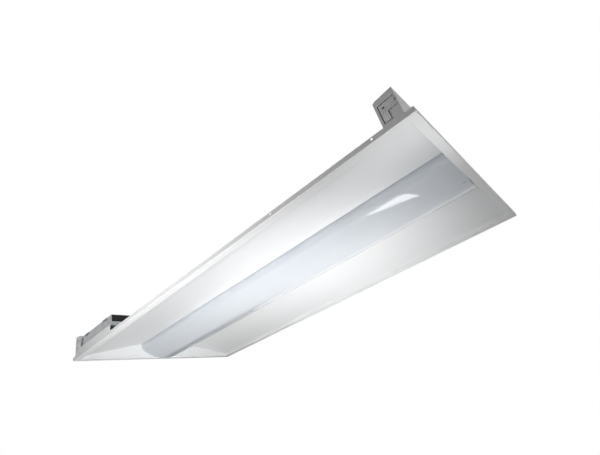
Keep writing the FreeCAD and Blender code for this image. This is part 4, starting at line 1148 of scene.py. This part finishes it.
# --- wiring -------------------------------------------------------------
# Line, neutral and bonding wires end in amber push-in connectors; the bonding
# wire's ring is under a green screw. A grey lead runs to the boards through grommets.
def tinted(nodes):
    cloud = noise(nodes, 200.0)
    return {
        "Base Color": blend(nodes, cloud, (0.70, 0.34, 0.06), (0.82, 0.46, 0.12)),
        "Roughness": cloud * 0.08 + 0.14,
    }


amber_plastic = surface("amber_plastic", tinted, IOR=1.5, Coat_Weight=0.5, Coat_Roughness=0.05)
carried_over("wire_connectors", amber_plastic, bevel=0.25)

black_wire = moulded("black_wire", (0.035, 0.035, 0.04), (0.02, 0.02, 0.024), 0.30)
white_wire = moulded("white_wire", (0.84, 0.84, 0.82), (0.76, 0.76, 0.74), 0.30)
green_wire = moulded("green_wire", (0.09, 0.36, 0.14), (0.06, 0.28, 0.10), 0.30)
grey_lead = moulded("grey_lead", (0.45, 0.46, 0.48), (0.38, 0.39, 0.41), 0.36)
NUT_END = -484.0
for node, y_can, turn_x, y_nut, finish, slot in (
        ("black_lead", BLACK_Y, -370.0, -257.025, black_wire, "black_wire"),
        ("white_lead", WHITE_Y, -364.0, -271.025, white_wire, "white_wire")):
    route = [(x1, y_can, LEAD_Z), (turn_x, y_can, LEAD_Z), (turn_x, y_nut, LEAD_Z),
             (NUT_END, y_nut, LEAD_Z)]
    stands_for(wires(node + "_made", [route], MAINS_R, finish), node)

RING_R = 4.6
RING_BORE = 2.1
TONGUE = (12.0, 1.6)
ground_x, ground_y = (-372.0, -285.025)
ring_top = BOX_FLOOR + 0.8
barrel_z = ring_top + 1.4
outline = []
for degrees in range(-160, 161, 10):
    a = math.radians(degrees)
    outline.append((ground_x + RING_R * math.cos(a), ground_y + RING_R * math.sin(a)))
outline += [(ground_x - TONGUE[0], ground_y + TONGUE[1]),
            (ground_x - TONGUE[0], ground_y - TONGUE[1])]
bm = bmesh.new()
add_prism(bm, outline, BOX_FLOOR, ring_top)
ring = finished("ring_terminal", bm)
hole = bmesh.new()
add_rod(hole, RING_BORE, (ground_x, ground_y, BOX_FLOOR - 1), (ground_x, ground_y, ring_top + 1))
drilled(ring, hole)
barrel = lathe("ring_barrel", [
    (1.35, 0.0), (2.05, 0.0), (2.05, 1.6), (1.7, 2.4), (1.7, 3.4), (2.05, 4.2), (2.05, 6.5),
    (1.35, 6.5)], 24, standing((ground_x - 7.5, ground_y, barrel_z), (-1, 0, 0)))
for part in (ring, barrel):
    part.data.materials.append(zinc_screw)
stands_for(together("ring_terminal", [ring, barrel]), "ground_lead")
route = [(ground_x - 9, ground_y, barrel_z), (ground_x - 20, ground_y, barrel_z),
         (ground_x - 34, ground_y, LEAD_Z), (NUT_END, ground_y, LEAD_Z)]
stands_for(wires("ground_wire", [route], MAINS_R, green_wire), "ground_lead")


def green_lacquer(nodes):
    cloud = noise(nodes, 500.0)
    return {
        "Base Color": blend(nodes, cloud, (0.06, 0.27, 0.10), (0.11, 0.38, 0.16)),
        "Roughness": cloud * 0.14 + 0.26,
    }


green_screw = surface("green_screw", green_lacquer, Metallic=0.6)
bonding = screw("bonding_screw", 2.0, 3.6, 4.0, 2.6)
bonding.data.transform(Matrix.Translation((ground_x * MM, ground_y * MM, ring_top * MM)))
bonding.data.materials.append(green_screw)
stands_for(bonding, "ground_screw")

WALL_HOLE = (-545, -205.825, LED_LEAD_Z)
PAN_HOLE = (-575, -38, 67.8)
hole_x = WALL_HOLE[0]
pan_x, pan_y = PAN_HOLE[:2]
route = [(x0, LED_LEAD_Y, LED_LEAD_Z), (hole_x, LED_LEAD_Y, LED_LEAD_Z),
         (hole_x, -175.025, LED_LEAD_Z), (-551, -128, 73.2), (-569, -72, 73.2),
         (pan_x, pan_y, 76.2), (pan_x, pan_y, WIRE_Z), (-562, pan_y, WIRE_Z)]
stands_for(wires("board_lead", [route], LED_LEAD_R, grey_lead), "led_lead")
groove = [(3.0, -0.8), (3.4, -1.2), (4.5, -1.2), (5.0, -0.7), (5.0, 0.0), (3.58, 0.0),
          (3.58, 0.8), (5.0, 0.8), (5.0, 1.5), (4.5, 2.0), (3.4, 2.0), (3.0, 1.6)]
grommets = [lathe("grommet", groove, 32, standing(WALL_HOLE, (0, 1, 0))),
            lathe("grommet", groove, 32, standing(PAN_HOLE, (0, 0, 1)))]
for grommet in grommets:
    grommet.data.materials.append(black_plastic)
stands_for(together("grommets", grommets), "lead_bushings")
